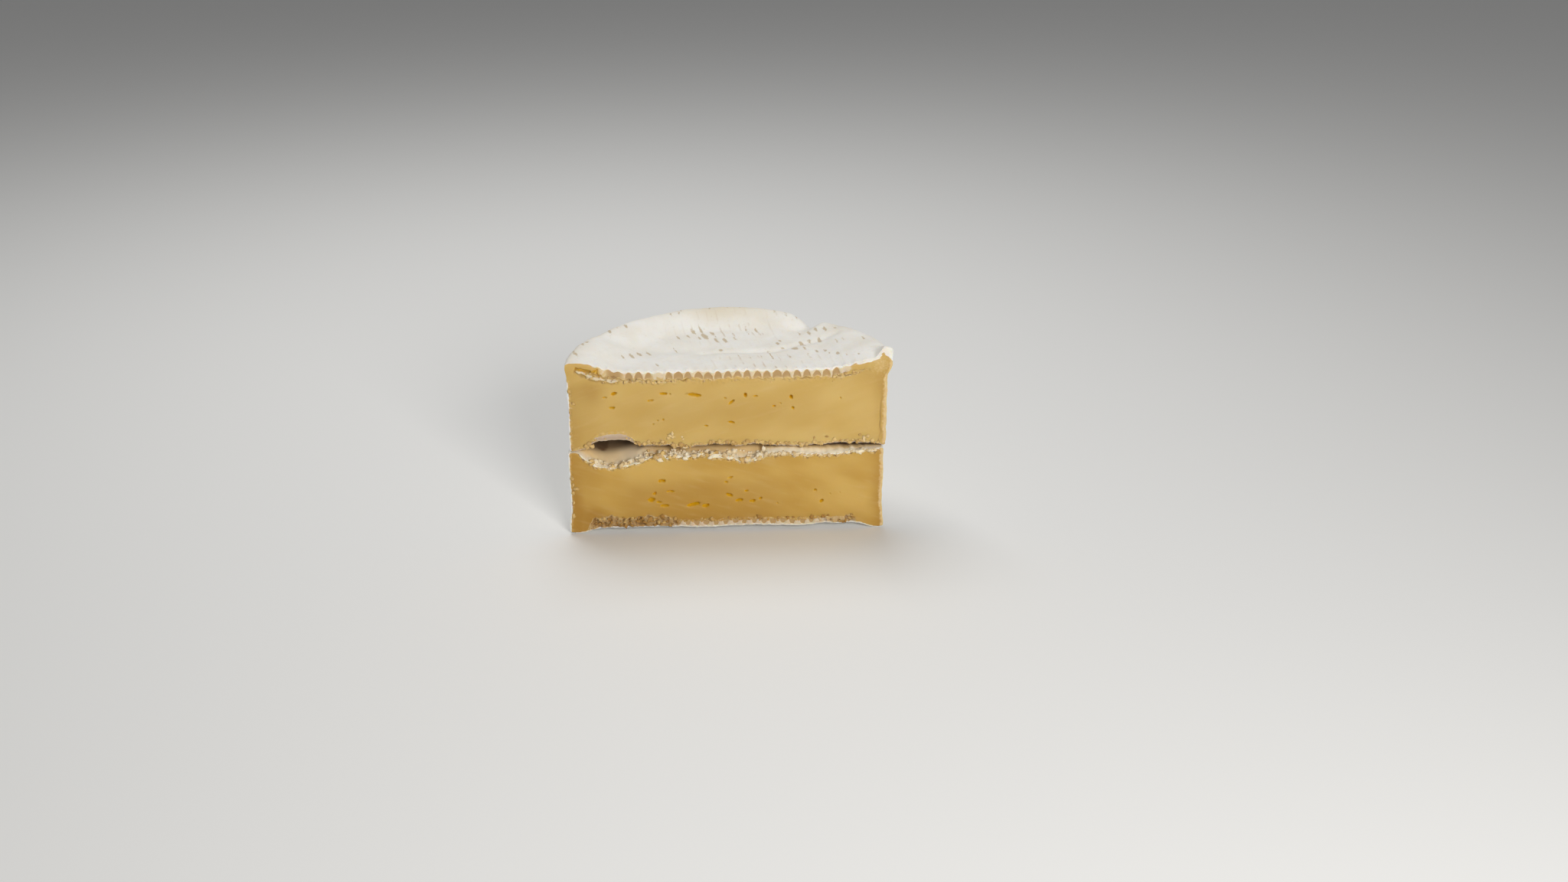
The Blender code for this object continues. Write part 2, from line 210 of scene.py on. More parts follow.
upperHalf = {
    "name": "upper_half",
    "shift": 0.4,
    "topRounding": wheel["rimRounding"],
    "lowRounding": wheel["seamRounding"],
    "topRows": detail["topRows"],
    "crowding": 1.3,
    # lower edge of the cut: x, height. The high stretch at the left is the open hollow.
    "lowEdge": (
        (-53.2, 30.7), (-51.3, 30.8), (-47.7, 32.3), (-45.2, 34.1), (-41.5, 34.5), (-34, 34.4),
        (-30.4, 32.8), (-22.4, 32.5), (-14.4, 31.6), (-2.7, 32.6), (2.3, 31.9), (9.6, 32.5),
        (15.6, 31.8), (23.6, 31.4), (30.6, 31.9), (41.6, 32.0), (50.6, 31.6), (53.2, 30.8),
    ),
    "bow": 1.4,  # how far the underside rises to the cut, and more over the hollow
    "hollowRise": 2.2,
    "lipRound": 2.2,  # the rind curls over the hollow
    "archStart": 0.05,
    "archBand": 3.05,  # how far the worn arches reach below the edge
    "archWidth": 1.5,
    # eyes: x, height, width, the eye's own height, tilt in degrees
    "eyes": (
        (-38.0, 51.3, 2.2, 1.1, 25), (-41.0, 50.0, 1.5, 0.5, 5), (-38.8, 46.3, 2.1, 0.9, 0),
        (-25.9, 48.7, 2.4, 0.5, 5), (-21.5, 51.1, 2.5, 0.9, 0), (-19.3, 50.9, 0.6, 0.4, 0),
        (-11.3, 50.5, 5.2, 1.2, -8), (-0.9, 49.1, 1.0, 0.4, -10), (1.2, 47.7, 2.5, 0.8, 40),
        (5.8, 50.1, 1.1, 1.5, 0), (9.2, 49.7, 1.9, 0.5, 0), (15.4, 45.9, 1.2, 0.6, 0),
        (17.5, 46.9, 0.7, 0.4, 0), (21.2, 49.1, 1.1, 1.4, 15), (21.8, 45.2, 1.1, 0.9, -20),
        (37.8, 48.4, 0.6, 0.6, 0), (1.0, 40.4, 2.3, 0.8, -10), (-7.5, 39.3, 1.4, 0.5, -8),
        (-21.8, 41.8, 0.8, 0.5, 30), (-23.6, 41.4, 0.6, 0.4, 0), (-25.2, 40.2, 0.8, 0.3, 20),
    ),
    # the torn rind at the upper left, on the cut: x, height
    "tear": ((-50.2, 60.4), (-48.4, 60.0), (-46.6, 59.7), (-44.9, 59.1), (-43.6, 59.6)),
    "crack": ((-43.2, 59.8), (-43.4, 58.8), (-42.8, 57.6)),
    "flap": (
        (-49.6, 59.6), (-47.4, 58.5), (-45.2, 57.6), (-43.4, 56.9), (-40.6, 56.2), (-37, 56.0),
    ),
    # the rind's lower edge on the cut, where it laps over the right end
    "rindLap": (
        (35.6, 58.6), (44.6, 60.3), (48.1, 61.1), (50.6, 62.0), (51.8, 64.6), (53.1, 63.1),
        (55.2, 61.0),
    ),
    "lipBand": 2.3,  # height of the rind that shows over the hollow
    # spans on the cut: where each starts, is full, ebbs and ends
    "archSpan": (-43, -41, 37, 40),
    "tongueSpan": (-44, -41, 38, 44),
    "mouldSpan": (-47, -42, 42, 48),
    "lipSpan": (-49, -41, -36.5, -30),
    "shadedSlits": ((-14.5, 2.6, 1), (26, 2.2, 1), (-33, 6, 0.8), (12, 3, 0.5)),  # x, width, share
    "depths": {
        "arch": 0.26, "crack": 0.55, "slit": 0.4, "lipCrack": 0.5, "split": 0.4,
        "tear": 0.9, "underFlap": 0.25,
    },
    "busyBands": (4.4, 1.7, 1.6),  # fine work reaches this far from the top, low edge and tear
    "paste": {
        "light": (0.665, 0.465, 0.155, 1),
        "deep": (0.61, 0.40, 0.11, 1),
        # the riper paste's tone, which also serves as painted shade
        "ripeAndShade": (0.50, 0.305, 0.072, 1),
        "streakTurn": -17,  # degrees
    },
}

lowerHalf = {
    "name": "lower_half",
    "shift": -0.4,
    "topRounding": wheel["seamRounding"],
    "lowRounding": wheel["rimRounding"],
    "topRows": 34,
    "crowding": 2.0,
    "topEdge": (
        (-53, 30.2), (-50.5, 30.2), (-46.9, 27.2), (-44, 25.4), (-41.2, 24.7), (-36.9, 24.5),
        (-32.6, 25.7), (-29, 26.7), (-26.2, 27.9), (-12, 28.3), (0, 28.2), (3.1, 27.2),
        (8.8, 26.8), (12, 27.9), (13.8, 28.6), (24.4, 28.9), (31.4, 28.2), (42.4, 29.3),
        (51.4, 30.0), (53, 30.2),
    ),
    "lowEdge": (
        (-53, 0.3), (-51, 0.15), (-49, 0.4), (-45.8, 1.4), (-34.6, 1.9), (-20, 2.0),
        (-6.8, 1.5), (0.4, 1.7), (10.4, 1.9), (21.2, 1.5), (27.2, 1.4), (33.1, 2.2),
        (39.1, 1.85), (43, 2.1), (46.4, 1.5), (49.2, 0.5), (51.6, 0.1), (53, 0.3),
    ),
    "dip": 2.3,  # how far the top sinks to the cut, and more in the hollow
    "hollowDepth": 3.8,
    "frontLift": 2.0,
    "archStart": -0.54,
    "archBand": 2.1,
    "archWidth": 1.0,
    "eyes": (
        (-22.1, 19.2, 2.6, 1.2, 8), (-19.2, 15.2, 2.6, 0.8, 0), (-24.7, 14.5, 1.4, 0.9, 35),
        (-25.8, 12.2, 2.5, 1.6, 10), (-23.2, 11.3, 1.8, 0.8, 0), (-21.3, 9.9, 2.8, 1.1, 0),
        (-11.5, 10.2, 5.0, 1.4, 12), (-7.2, 9.6, 2.8, 1.3, 10), (-0.2, 18.4, 1.3, 0.7, 0),
        (1.3, 20.0, 1.9, 0.6, 20), (1.0, 13.4, 2.6, 1.1, -25), (4.2, 11.4, 2.6, 1.2, 5),
        (6.7, 14.9, 1.4, 0.8, 15), (8.7, 11.0, 2.2, 1.1, 5), (11.5, 11.9, 1.2, 0.9, 30),
        (17.3, 9.9, 0.5, 0.5, 0), (30.3, 14.6, 0.9, 0.8, 0), (32.5, 10.5, 1.4, 1.2, 30),
        (35.4, 13.2, 0.4, 0.4, 0), (38.8, 13.6, 0.4, 0.4, 0),
    ),
    "archSpan": (-20, -17, 30, 34),
    "tongueSpan": (-21, -17, 31, 38),
    "mouldSpan": (-52, -49, 51, 53),
    "roughLeft": (-49, -46, -20, -14),
    "roughRight": (28, 34, 42, 47),
    "roughHeights": (4.4, 3.0),
    "depths": {"arch": 0.3, "dent": 0.4, "pit": 0.8},
    # painted shade: these tones are darker than the upper half's, as the lower half stands in more
    # shade
    "paste": {
        "light": (0.65, 0.425, 0.112, 1),
        "deep": (0.56, 0.335, 0.065, 1),
        # the riper paste's tone, which also serves as painted shade
        "ripeAndShade": (0.44, 0.235, 0.034, 1),
        "streakTurn": 16,
    },
}


def edgeShare(x, y, start):
    return fade(np.abs(x), start, 50) * fade(y, 0, wheel["edgeDepth"])


def hollow(x, y):
    return between(x, *wheel["hollowSpan"]) * fade(y, *wheel["hollowBack"])


# The lower half's upper skin turns over the edge sharply from here to the right
def sharpTurn(x):
    return smooth(x, 11, 14)


# The crumbly line of a cut edge fades into the plain sheet behind it
def meetsEdge(sheet, edge, x, y):
    near = fade(y, 0, 5)
    return sheet(x, y) + near * (edge - sheet(x, 0 * y))


def raggedEdge(x, seed, height):
    return lumps(x, seed, 0, 2.3, height) + lumps(x, seed, 7, 0.9, height * 0.7)


def upperUnderside(x, y):
    rise = upperHalf["bow"] * edgeShare(x, y, 34) + upperHalf["hollowRise"] * hollow(x, y)
    return wheel["contactHeight"] + wheel["contactGap"] / 2 + rise


# The sheet sinks gently to the cut at the left, and turns over it sharply at the right
def lowerTop(x, y):
    depth = wheel["edgeDepth"] - 5 * sharpTurn(x)
    dip = lowerHalf["dip"] * fade(np.abs(x), 30, 50) * fade(y / depth, 0, 1)
    dip = dip + lowerHalf["hollowDepth"] * hollow(x, y)
    return wheel["contactHeight"] - wheel["contactGap"] / 2 - dip


def lowerUnderside(x, y):
    return lowerHalf["frontLift"] * fade(y, 1, 16) * fade(np.abs(x), 40, 50)


# Torn white mould along the front of the lower half's top
def curds(x, y):
    near = between(y, 0, 0.4, 2, 5) * fade(np.abs(x), 44, 50)
    return near * (lumps(x, y, 60, 1.4, 0.5) + lumps(x, y, 64, 0.7, 0.25))


def upperLowEdge(x):
    within = fade(np.abs(x), 48, 52)
    calm = 1 - 0.7 * bump(x + 38, 6)
    return through(x, upperHalf["lowEdge"]) + raggedEdge(x, 3, 0.5) * within * calm


def lowerTopEdge(x):
    within = fade(np.abs(x), 47, 51)
    return through(x, lowerHalf["topEdge"]) + raggedEdge(x, 11, 0.45) * within


def lowerLowEdge(x):
    within = fade(np.abs(x), 44, 50)
    return through(x, lowerHalf["lowEdge"]) + raggedEdge(x, 17, 0.22) * within


upperHalf["top"] = wheelTop
upperHalf["topAtCut"] = lambda x: wheelTop(x, 0 * x) + matPrint(x, x, 0 * x)
upperHalf["underside"] = lambda x, y: meetsEdge(upperUnderside, upperLowEdge(x), x, y)
upperHalf["lowAtCut"] = upperLowEdge
lowerHalf["top"] = lambda x, y: meetsEdge(lowerTop, lowerTopEdge(x), x, y)
lowerHalf["topAtCut"] = lowerTopEdge
lowerHalf["underside"] = lambda x, y: meetsEdge(lowerUnderside, lowerLowEdge(x), x, y)
lowerHalf["lowAtCut"] = lowerLowEdge


def upperFlare(x, height):
    right, left = smooth(x, 42, 53), smooth(-x, 45, 53)
    return smooth(height, 56, 61) * (wheel["hornFlare"] * right + wheel["leftFlare"] * left)


def lowerFlare(x, height):
    return wheel["baseFlare"] * fade(height, 2, 9) * smooth(np.abs(x), 42, 53)


upperHalf["flare"] = upperFlare
lowerHalf["flare"] = lowerFlare


def roundingAt(angle, rounding):
    end = wheel["cutRounding"]
    return rounding * (end + (1 - end) * smooth(np.sin(angle), 0, 0.5))


def leaned(angle):
    return angle + wheel["matLean"] * np.sin(angle)


# From the cut to the ring where the rim's rounding starts
def sheetPoint(angle, share, rounding):
    front = wheel["radius"] - roundingAt(angle, rounding)
    back = leaned(angle)
    ring = wheel["radius"] - roundingAt(back, rounding)
    x = front * np.cos(angle) * (1 - share) + ring * np.cos(back) * share
    return x, ring * np.sin(back) * share


# Down the rim, by share of its length: inset, height, share of the rim's relief
def rimProfile(half, angle, top, bottom, share):
    high, low = roundingAt(angle, half["topRounding"]), roundingAt(angle, half["lowRounding"])
    side = top - high - bottom - low
    length = math.pi / 2 * (high + low) + side
    run = share * length
    upTurn = np.clip(run / high, 0, math.pi / 2)
    lowTurn = np.clip((length - run) / low, 0, math.pi / 2)
    inset = high * (1 - np.sin(upTurn)) + low * (1 - np.sin(lowTurn))
    straight = np.clip(run - math.pi / 2 * high, 0, side)
    height = top - high * (1 - np.cos(upTurn)) - straight - low * np.cos(lowTurn)
    return inset, height, np.minimum(np.sin(upTurn), np.sin(lowTurn))


def rimRadius(half, angle, inset, height, share):
    x, y = np.cos(angle) * wheel["radius"], np.sin(angle) * wheel["radius"]
    away = smooth(y, 0, 6)
    uneven = lumps(x, y, height, 10, 0.5) * away + lumps(x, y, height, 4, 0.3)
    fine = lumps(x, y, height, 1.7, 0.16)
    return wheel["radius"] - inset + share * (half["flare"](x, height) + uneven + fine)


def columnAngles():
    u = np.linspace(0, 1, detail["columns"])
    return math.pi * (u + detail["columnCrowding"] / (2 * math.pi) * np.sin(2 * math.pi * u))


# Even steps down the rim, and the same drawn closer together at both its edges
def rimShares():
    t = np.linspace(0, 1, detail["rimRows"])[:, None]
    return t, t - detail["rimCrowding"] * np.sin(2 * math.pi * t)


# The skin runs over the top, down the rim and back under to the cut
def skinGrid(half):
    angle = columnAngles()
    topRows, hidden = half["topRows"], detail["hiddenRows"]
    back = leaned(angle)
    across = (wheel["radius"] - wheel["rimRounding"]) * np.cos(angle)
    ringTop = half["top"](*sheetPoint(angle, 1, half["topRounding"]))
    ringLow = half["underside"](*sheetPoint(angle, 1, half["lowRounding"]))

    share = ((np.arange(topRows) / topRows) ** half["crowding"])[:, None]
    x, y = sheetPoint(angle, share, half["topRounding"])
    z = half["top"](x, y)
    z = z + (matPrint(across, x, y) if half is upperHalf else curds(x, y))
    topPart = np.stack([x, y, z], axis=-1)

    share = rimShares()[1]
    inset, height, relief = rimProfile(half, back, ringTop, ringLow, share)
    radius = rimRadius(half, back + 0 * share, inset, height, relief)
    rimPart = np.stack([radius * np.cos(back), radius * np.abs(np.sin(back)), height], axis=-1)

    share = ((1 - np.arange(1, hidden + 1) / hidden) ** detail["hiddenCrowding"])[:, None]
    x, y = sheetPoint(angle, share, half["lowRounding"])
    lowPart = np.stack([x, y, half["underside"](x, y)], axis=-1)

    grid = np.concatenate([topPart, rimPart, lowPart])
    grid[0, :, 2] = half["topAtCut"](grid[0, :, 0])
    return grid, across, angle


# The cut face fits the skin's two front edges and its two ends
def faceGrid(half, skin, angle):
    t, share = rimShares()
    rim = slice(half["topRows"], half["topRows"] + len(t))
    high, low = skin[0], skin[-1]
    height = rimProfile(half, 0 * angle, high[:, 2], low[:, 2], share)[1]
    x = high[:, 0] + (low[:, 0] - high[:, 0]) * t
    pull = np.abs(np.cos(angle)) ** 8
    for column in (0, -1):
        end = skin[rim, column, 0]
        straight = end[0] + (end[-1] - end[0]) * t[:, 0]
        side = angle < math.pi / 2 if column == 0 else angle >= math.pi / 2
        x = x + side * pull * (end - straight)[:, None]
    return np.stack([x, 0 * x, height], axis=-1)


def addMarks(mesh, marks):
    for name, values in marks.items():
        mesh.attributes.new(name, "FLOAT", "POINT").data.foreach_set("value", values)


def addObject(name, data):
    made = bpy.data.objects.new(name, data)
    bpy.context.scene.collection.objects.link(made)
    return made


# One closed mesh, flat at the cut: the fine work is done after the busy places are divided
def halfMesh(half):
    skin, across, angle = skinGrid(half)
    face = faceGrid(half, skin, angle)
    rows, columns = skin.shape[:2]
    topRows, rimRows = half["topRows"], detail["rimRows"]
    rimEnd = topRows + rimRows - 1
    skinIds = np.arange(rows * columns).reshape(rows, columns)
    for end in (0, -1):
        skinIds[:topRows, end] = skinIds[topRows, end]
        skinIds[rimEnd:, end] = skinIds[rimEnd, end]
    faceIds = rows * columns + np.arange(rimRows * columns).reshape(rimRows, columns)
    faceIds[0], faceIds[-1] = skinIds[0], skinIds[-1]
    rim = slice(topRows, rimEnd + 1)
    faceIds[:, 0], faceIds[:, -1] = skinIds[rim, 0], skinIds[rim, -1]

    loops = []
    for ids, turn in ((skinIds, 1), (faceIds, -1)):
        corners = (ids[:-1, :-1], ids[1:, :-1], ids[1:, 1:], ids[:-1, 1:])
        quads = np.stack(corners, axis=-1).reshape(-1, 4)[:, ::turn].tolist()
        loops.append([tuple(dict.fromkeys(quad)) for quad in quads])
    skinCount = len([loop for loop in loops[0] if len(loop) > 2])
    faces = [loop for part in loops for loop in part if len(loop) > 2]

    places = np.concatenate([skin.reshape(-1, 3), face.reshape(-1, 3)])
    marks = {"onFace": np.zeros(len(places)), "phase": np.zeros(len(places))}
    marks["onFace"][rows * columns :] = 1
    border = np.concatenate([faceIds[0], faceIds[-1], faceIds[:, 0], faceIds[:, -1]])
    marks["onFace"][border] = 1
    marks["phase"][: rows * columns] = np.tile(across / wheel["matPitch"], rows)
    used = np.unique(np.concatenate([np.array(loop) for loop in faces]))
    renumber = np.zeros(len(places), int)
    renumber[used] = np.arange(len(used))
    faces = [[int(renumber[corner]) for corner in loop] for loop in faces]

    mesh = bpy.data.meshes.new(half["name"])
    mesh.from_pydata(places[used].tolist(), [], faces)
    addMarks(mesh, {name: values[used] for name, values in marks.items()})
    paint = np.zeros(len(mesh.polygons), np.int32)
    paint[skinCount:] = 1
    mesh.polygons.foreach_set("material_index", paint)
    return mesh


def readMesh(mesh):
    places = np.empty(len(mesh.vertices) * 3)
    mesh.vertices.foreach_get("co", places)
    onFace = np.empty(len(mesh.vertices))
    mesh.attributes["onFace"].data.foreach_get("value", onFace)
    return places.reshape(-1, 3), onFace > 0.999


# Distance from an eye's middle, as a share of the way to its outline
def eyeDistance(x, z, eye):
    ex, ez, width, height, tilt = eye
    turn = math.radians(tilt)
    along = (x - ex) * math.cos(turn) + (z - ez) * math.sin(turn)
    up = (z - ez) * math.cos(turn) - (x - ex) * math.sin(turn)
    return np.hypot(along / (width / 2), up / (height / 2))


# Divides the faces of the cut that carry fine work: the busy bands once, then the eyes
def divideBusy(half, mesh, busy):
    bm = bmesh.new()
    bm.from_mesh(mesh)
    for wanted in (busy, lambda x, z: eyeBusy(half, x, z)):
        chosen = [f for f in bm.faces if f.material_index == 1]
        centres = np.array([f.calc_center_median() for f in chosen])
        picked = wanted(centres[:, 0], centres[:, 2])
        edges = {edge for f, take in zip(chosen, picked) if take for edge in f.edges}
        bmesh.ops.subdivide_edges(bm, edges=list(edges), cuts=1, use_grid_fill=True)
    bm.to_mesh(mesh)
    bm.free()


def eyeBusy(half, x, z):
    busy = np.zeros(len(x), bool)
    for eye in half["eyes"]:
        ex, ez, width, height, tilt = eye
        busy |= eyeDistance(x, z, (ex, ez, width + 1.0, height + 1.0, tilt)) < 1
    return busy


def eyeHollows(half, x, z):
    depth, gold, browShadow = np.zeros((3, len(x)))
    for number, eye in enumerate(half["eyes"]):
        near = np.abs(x - eye[0]) < eye[2] + 2
        q = eyeDistance(x[near], z[near], eye)
        q = q + lumps(x[near], number * 3.0, z[near], 0.8, 0.3)
        deep = min(1.6, 0.5 + 0.8 * eye[3])
        depth[near] = np.maximum(depth[near], deep * fade(q, 0.55, 1.05))
        gold[near] = np.maximum(gold[near], fade(q, 0.8, 1.2))
        # painted shadow under each eye's upper rim
        roof = smooth(z[near] - eye[1], 0.05 * eye[3], 0.35 * eye[3]) * bump(q - 0.85, 0.3)
        browShadow[near] = np.maximum(browShadow[near], roof)
    return depth, gold, browShadow


# Scallops that the mat leaves in the rind where the knife went through it: 1 inside an arch
def arches(half, x, fromEdge):
    step = (x - half["archStart"]) / wheel["matPitch"]
    tooth = np.round(step)
    uneven = lumps(tooth * 1.7, 30 + half["shift"], 0, 1, 1.0)
    off = (step - tooth) * wheel["matPitch"] - 0.4 * uneven
    off = off + 0.2 * lumps(x, 90, fromEdge, 0.9, 1.0)
    width = half["archWidth"] * (1.05 + 0.6 * lumps(tooth * 2.9, 70, 0, 1, 1.0))
    reach = (half["archBand"] - 0.45) * (1 + 0.5 * lumps(tooth * 2.3, 50, 0, 1, 1.0))
    up = np.clip(half["archBand"] - fromEdge, 0, None) / reach
    q = np.hypot(off / width, up)
    melted = 0.25 * smooth(fromEdge, half["archBand"] - 1.1, half["archBand"] + 0.1)
    return fade(q, 0.72, 1.18) * (1 - melted)


# The plain cut: gentle swells, the knife's smear and a fine grain
def plainCut(x, z, smear):
    return lumps(x, 0, z, 15, 0.25) + smear + lumps(x, 4, z, 0.7, 0.02)


def crumble(x, z, seed):
    return lumps(x, seed, z, 1.0, 1.0) + lumps(x, seed + 1, z, 0.5, 0.5)


# The rind that shows at both ends of the cut, thinner at the right
def sideRind(x, z, fromSide, atRight):
    rim = fade(fromSide + lumps(x, 22, z, 1.5, 0.3), 0.4, 0.9)
    return (0.7 - 0.45 * atRight) * rim


def upperFace(x, z, fromTop, fromLow, fromSide):
    smear = lumps(x * 0.26 + z * 0.1, 2, z - x * 0.32, 2.4, 0.07)
    band = upperHalf["archBand"]
    ends = between(x, *upperHalf["archSpan"])
    broken = 1 - bump(x + 23, 2.0)  # one arch is missing
    inBand = fade(fromTop + lumps(x, 8, 0, 1.5, 0.5), band - 0.1, band + 0.3)
    arch = arches(upperHalf, x, fromTop)
    patch = bump((x + 37.6) / 4.2, 1) * smooth(fromTop, 0.3, 0.7)  # arches run together
    arch = np.maximum(arch * fade(-x, 33.5, 35.5), patch) * ends * broken * inBand
    # white tongues of rind hang between the arches
    tips = smooth(fromTop, 1.2, band)
    ragged = lumps(x, 12, z, 1.1, 1.0)
    tongue = inBand * (1 - arch) * (1 - 0.6 * smooth(tips + 0.6 * ragged, 0.45, 1.1))
    tongue *= between(x, *upperHalf["tongueSpan"])
    mould = fade(fromTop + lumps(x, 9, 0, 2, 0.3), 0.2, 0.75)
    mould *= between(x, *upperHalf["mouldSpan"])

    # rough under the arches at both ends, nearly smooth between
    rough = 0.35 + 0.65 * np.maximum(fade(x, -20, -14), smooth(x, 34, 37))
    line = band + 0.7 + lumps(x, 15, 0, 4, 0.5)
    crustLine = bump(fromTop - line, 0.75) * fade(np.abs(x), 42, 50) * rough
    crumbly = crumble(x, z, 18)
    cracks = smooth(crumbly, 0.15, 0.45) * crustLine
    shadedSlits = sum(part * bump(x - place, width) for place, width, part in upperHalf["shadedSlits"])
    shadedSlits = shadedSlits * bump(fromTop - band - 0.3 + lumps(x, 16, 0, 2, 0.3), 0.24)
    # the crumbly lower edge, and a split near the right end
    lip = fade(fromLow + lumps(x, 35, 0, 3, 0.8), 0.5, 1.7)
    lip *= 1 - bump(x + 37, 8)
    lipCracks = lip * smooth(crumbly, 0.1, 0.5)
    sides = fade(fromSide, 0.4, 2.2)
    atRight = smooth(x, 30, 45)
    split = bump(fromSide - 2.1 + lumps(x, 23, z, 3, 1.2), 0.3) * atRight * bump(z - 41, 6)

    deep = upperHalf["depths"]
    relief = plainCut(x, z, smear) - deep["arch"] * arch + 0.12 * inBand * (1 - arch)
    relief += crustLine * (0.1 + 0.36 * crumbly) - deep["crack"] * cracks - deep["slit"] * shadedSlits
    relief += lip * (0.05 + 0.5 * crumbly) - deep["lipCrack"] * lipCracks - deep["split"] * split
    relief += sides * (lumps(x, 21, z, 1.8, 0.4) + 0.3 * atRight * crumbly)
    # the tear with its loose flap
    tear = lineDistance(x, z, upperHalf["tear"]) + lumps(x, 25, z, 0.9, 0.3)
    crack = lineDistance(x, z, upperHalf["crack"]) + lumps(x, 26, z, 0.8, 0.3)
    torn = np.maximum(fade(tear, 0.15, 0.55), 0.8 * fade(crack, 0.1, 0.5))
    away = lineDistance(x, z, upperHalf["flap"]) + lumps(x, 27, z, 1.2, 0.6)
    flap = fade(away, 0.35, 0.75) * (1 - torn)
    under = bump(away - 0.95, 0.35) * (1 - flap)
    relief += flap * (0.24 + 0.4 * crumbly) - deep["tear"] * torn - deep["underFlap"] * under

    edging = (0.3 + 0.3 * atRight) * sides
    crust = np.maximum.reduce([arch, 0.4 * crustLine + 0.3 * cracks, 0.3 * lip, edging])
    crust = np.maximum(crust, 0.3 * flap)
    lap = np.interp(x, *zip(*upperHalf["rindLap"])) + lumps(x, 29, z, 1.5, 0.4)
    lap = smooth(z - lap, -0.1, 0.35) * smooth(x, 41, 45)
    mould = np.maximum.reduce([mould, sideRind(x, z, fromSide, atRight), lap])
    corner = bump(np.hypot(x - 51, z - 60), 4)
    # the rind that shows over the hollow, and the crumbs along it
    lipBand = between(x, *upperHalf["lipSpan"]) * upperHalf["lipBand"]
    lipEdge = lumps(x, 31, 0, 2.4, 0.8) + lumps(x, 32, z, 0.8, 0.4)
    lipRind = fade(fromLow - lipBand - lipEdge, -0.4, 0.1)
    lipRind *= smooth(lipBand, 0.3, 0.9)
    lipCrumbs = bump(fromLow - lipBand - lipEdge - 0.5, 0.5) * smooth(hollow(x, 0 * x), 0.1, 0.4)
    relief += lipCrumbs * (0.1 + 0.5 * crumbly)
    crust = np.maximum(crust, 0.3 * lipCrumbs)
    underEdge = fade(fromLow, 0.05, 0.3)
    # painted shade: cracks, slits, the lip's pits, the line under the flap and the split turn
    # near-black brown
    dark = (cracks, 0.8 * shadedSlits, 0.6 * lipCracks, 0.5 * under, 0.6 * split)
    return {
        "relief": relief,
        "mould": np.maximum(mould, lipRind),
        "crust": np.maximum(crust, 0.3 * corner),
        "tongue": np.maximum(tongue, 0.75 * flap),
        "crack": np.maximum.reduce(dark),
        "gold": 0.75 * torn,
        # painted shade on the rind over the hollow and along the cut's lower edge
        "dusk": np.maximum(lipRind, underEdge),
    }


def lowerFace(x, z, fromTop, fromLow, fromSide):
    smear = lumps(x * 0.24 + z * 0.12, 6, z + x * 0.3, 2.4, 0.07)
    crumbly = crumble(x, z, 38)
    inside = between(x, *lowerHalf["mouldSpan"])
    # torn white curds hang from the upper edge, with dents under them
    hang = 0.6 + lumps(x, 33, 0, 1.8, 1.5) + lumps(x, 34, 0, 4.5, 0.6) + 0.3 * crumbly
    hang -= 0.5 * between(x, *wheel["curdsSag"]) + 0.2
    mould = fade(fromTop - hang, 0.0, 0.35) * inside
    under = bump(fromTop - hang - 0.6, 0.6) * inside
    dents = under * smooth(crumbly, 0.0, 0.4)
    sides = fade(fromSide, 0.4, 2.0)
    atRight = smooth(x, 30, 45)

    band = lowerHalf["archBand"]
    show = between(x, *lowerHalf["archSpan"])
    inBand = fade(fromLow + lumps(x, 41, 0, 1.5, 0.4), band - 0.1, band + 0.35)
    arch = arches(lowerHalf, x, fromLow) * show * inBand
    tips = smooth(fromLow, 0.6, band)
    tongue = inBand * (1 - arch) * (1 - 0.8 * smooth(tips + 0.5 * crumbly, 0.6, 1.2))
    tongue *= between(x, *lowerHalf["tongueSpan"])
    arch = np.clip(1.5 * arch, 0, 1)
    lowMould = fade(fromLow + 0.3 * crumbly, 0.25, 0.65) * inside
    lowMould *= 1 - 0.7 * bump(x + 33, 12)
    over = bump(fromLow - band - 0.5 + lumps(x, 42, 0, 2, 0.5), 0.4) * show

    # coarse, pitted crust at both ends of the lower edge
    roughLeft = between(x, *lowerHalf["roughLeft"])
    roughRight = between(x, *lowerHalf["roughRight"])
    leftHeight, rightHeight = lowerHalf["roughHeights"]
    depth = leftHeight * roughLeft + rightHeight * roughRight + 0.1
    rough = np.maximum(roughLeft, 0.7 * roughRight)
    rough = rough * fade(fromLow + lumps(x, 43, 0, 3, 1.4), depth * 0.7, depth)
    big = lumps(x * 1.3, 45, z * 0.8, 1.9, 1.0)
    pits = smooth(big + 0.5 * crumbly, -0.05, 0.35) * rough

    deep = lowerHalf["depths"]
    relief = plainCut(x, z, smear) + mould * (0.2 + 0.5 * crumbly)
    relief = relief - deep["arch"] * arch - deep["dent"] * dents
    relief += rough * (0.15 + 0.4 * crumbly - 0.4 * big) - deep["pit"] * pits + 0.1 * tongue
    relief += sides * (lumps(x, 47, z, 1.8, 0.4) + 0.25 * atRight * crumbly) + over * 0.5 * crumbly
    edging = (0.3 + 0.3 * atRight) * sides
    crust = np.maximum.reduce([arch, 0.8 * rough + 0.5 * pits, 0.4 * under, edging, 0.3 * over])
    atSides = sideRind(x, z, fromSide, atRight)
    # painted shade: pits, the rough crust, the dents under the curds and the cracks above the
    # arches turn near-black brown
    dark = (pits, 0.55 * rough, 0.7 * dents, 0.5 * over * smooth(crumbly, 0, 0.4))
    return {
        "relief": relief,
        "mould": np.maximum.reduce([mould, 0.8 * lowMould, atSides]),
        "crust": crust,
        "tongue": tongue,
        "crack": np.maximum.reduce(dark),
        "gold": 0 * x,
        "cream": np.maximum(mould, 0.7 * lowMould),
    }


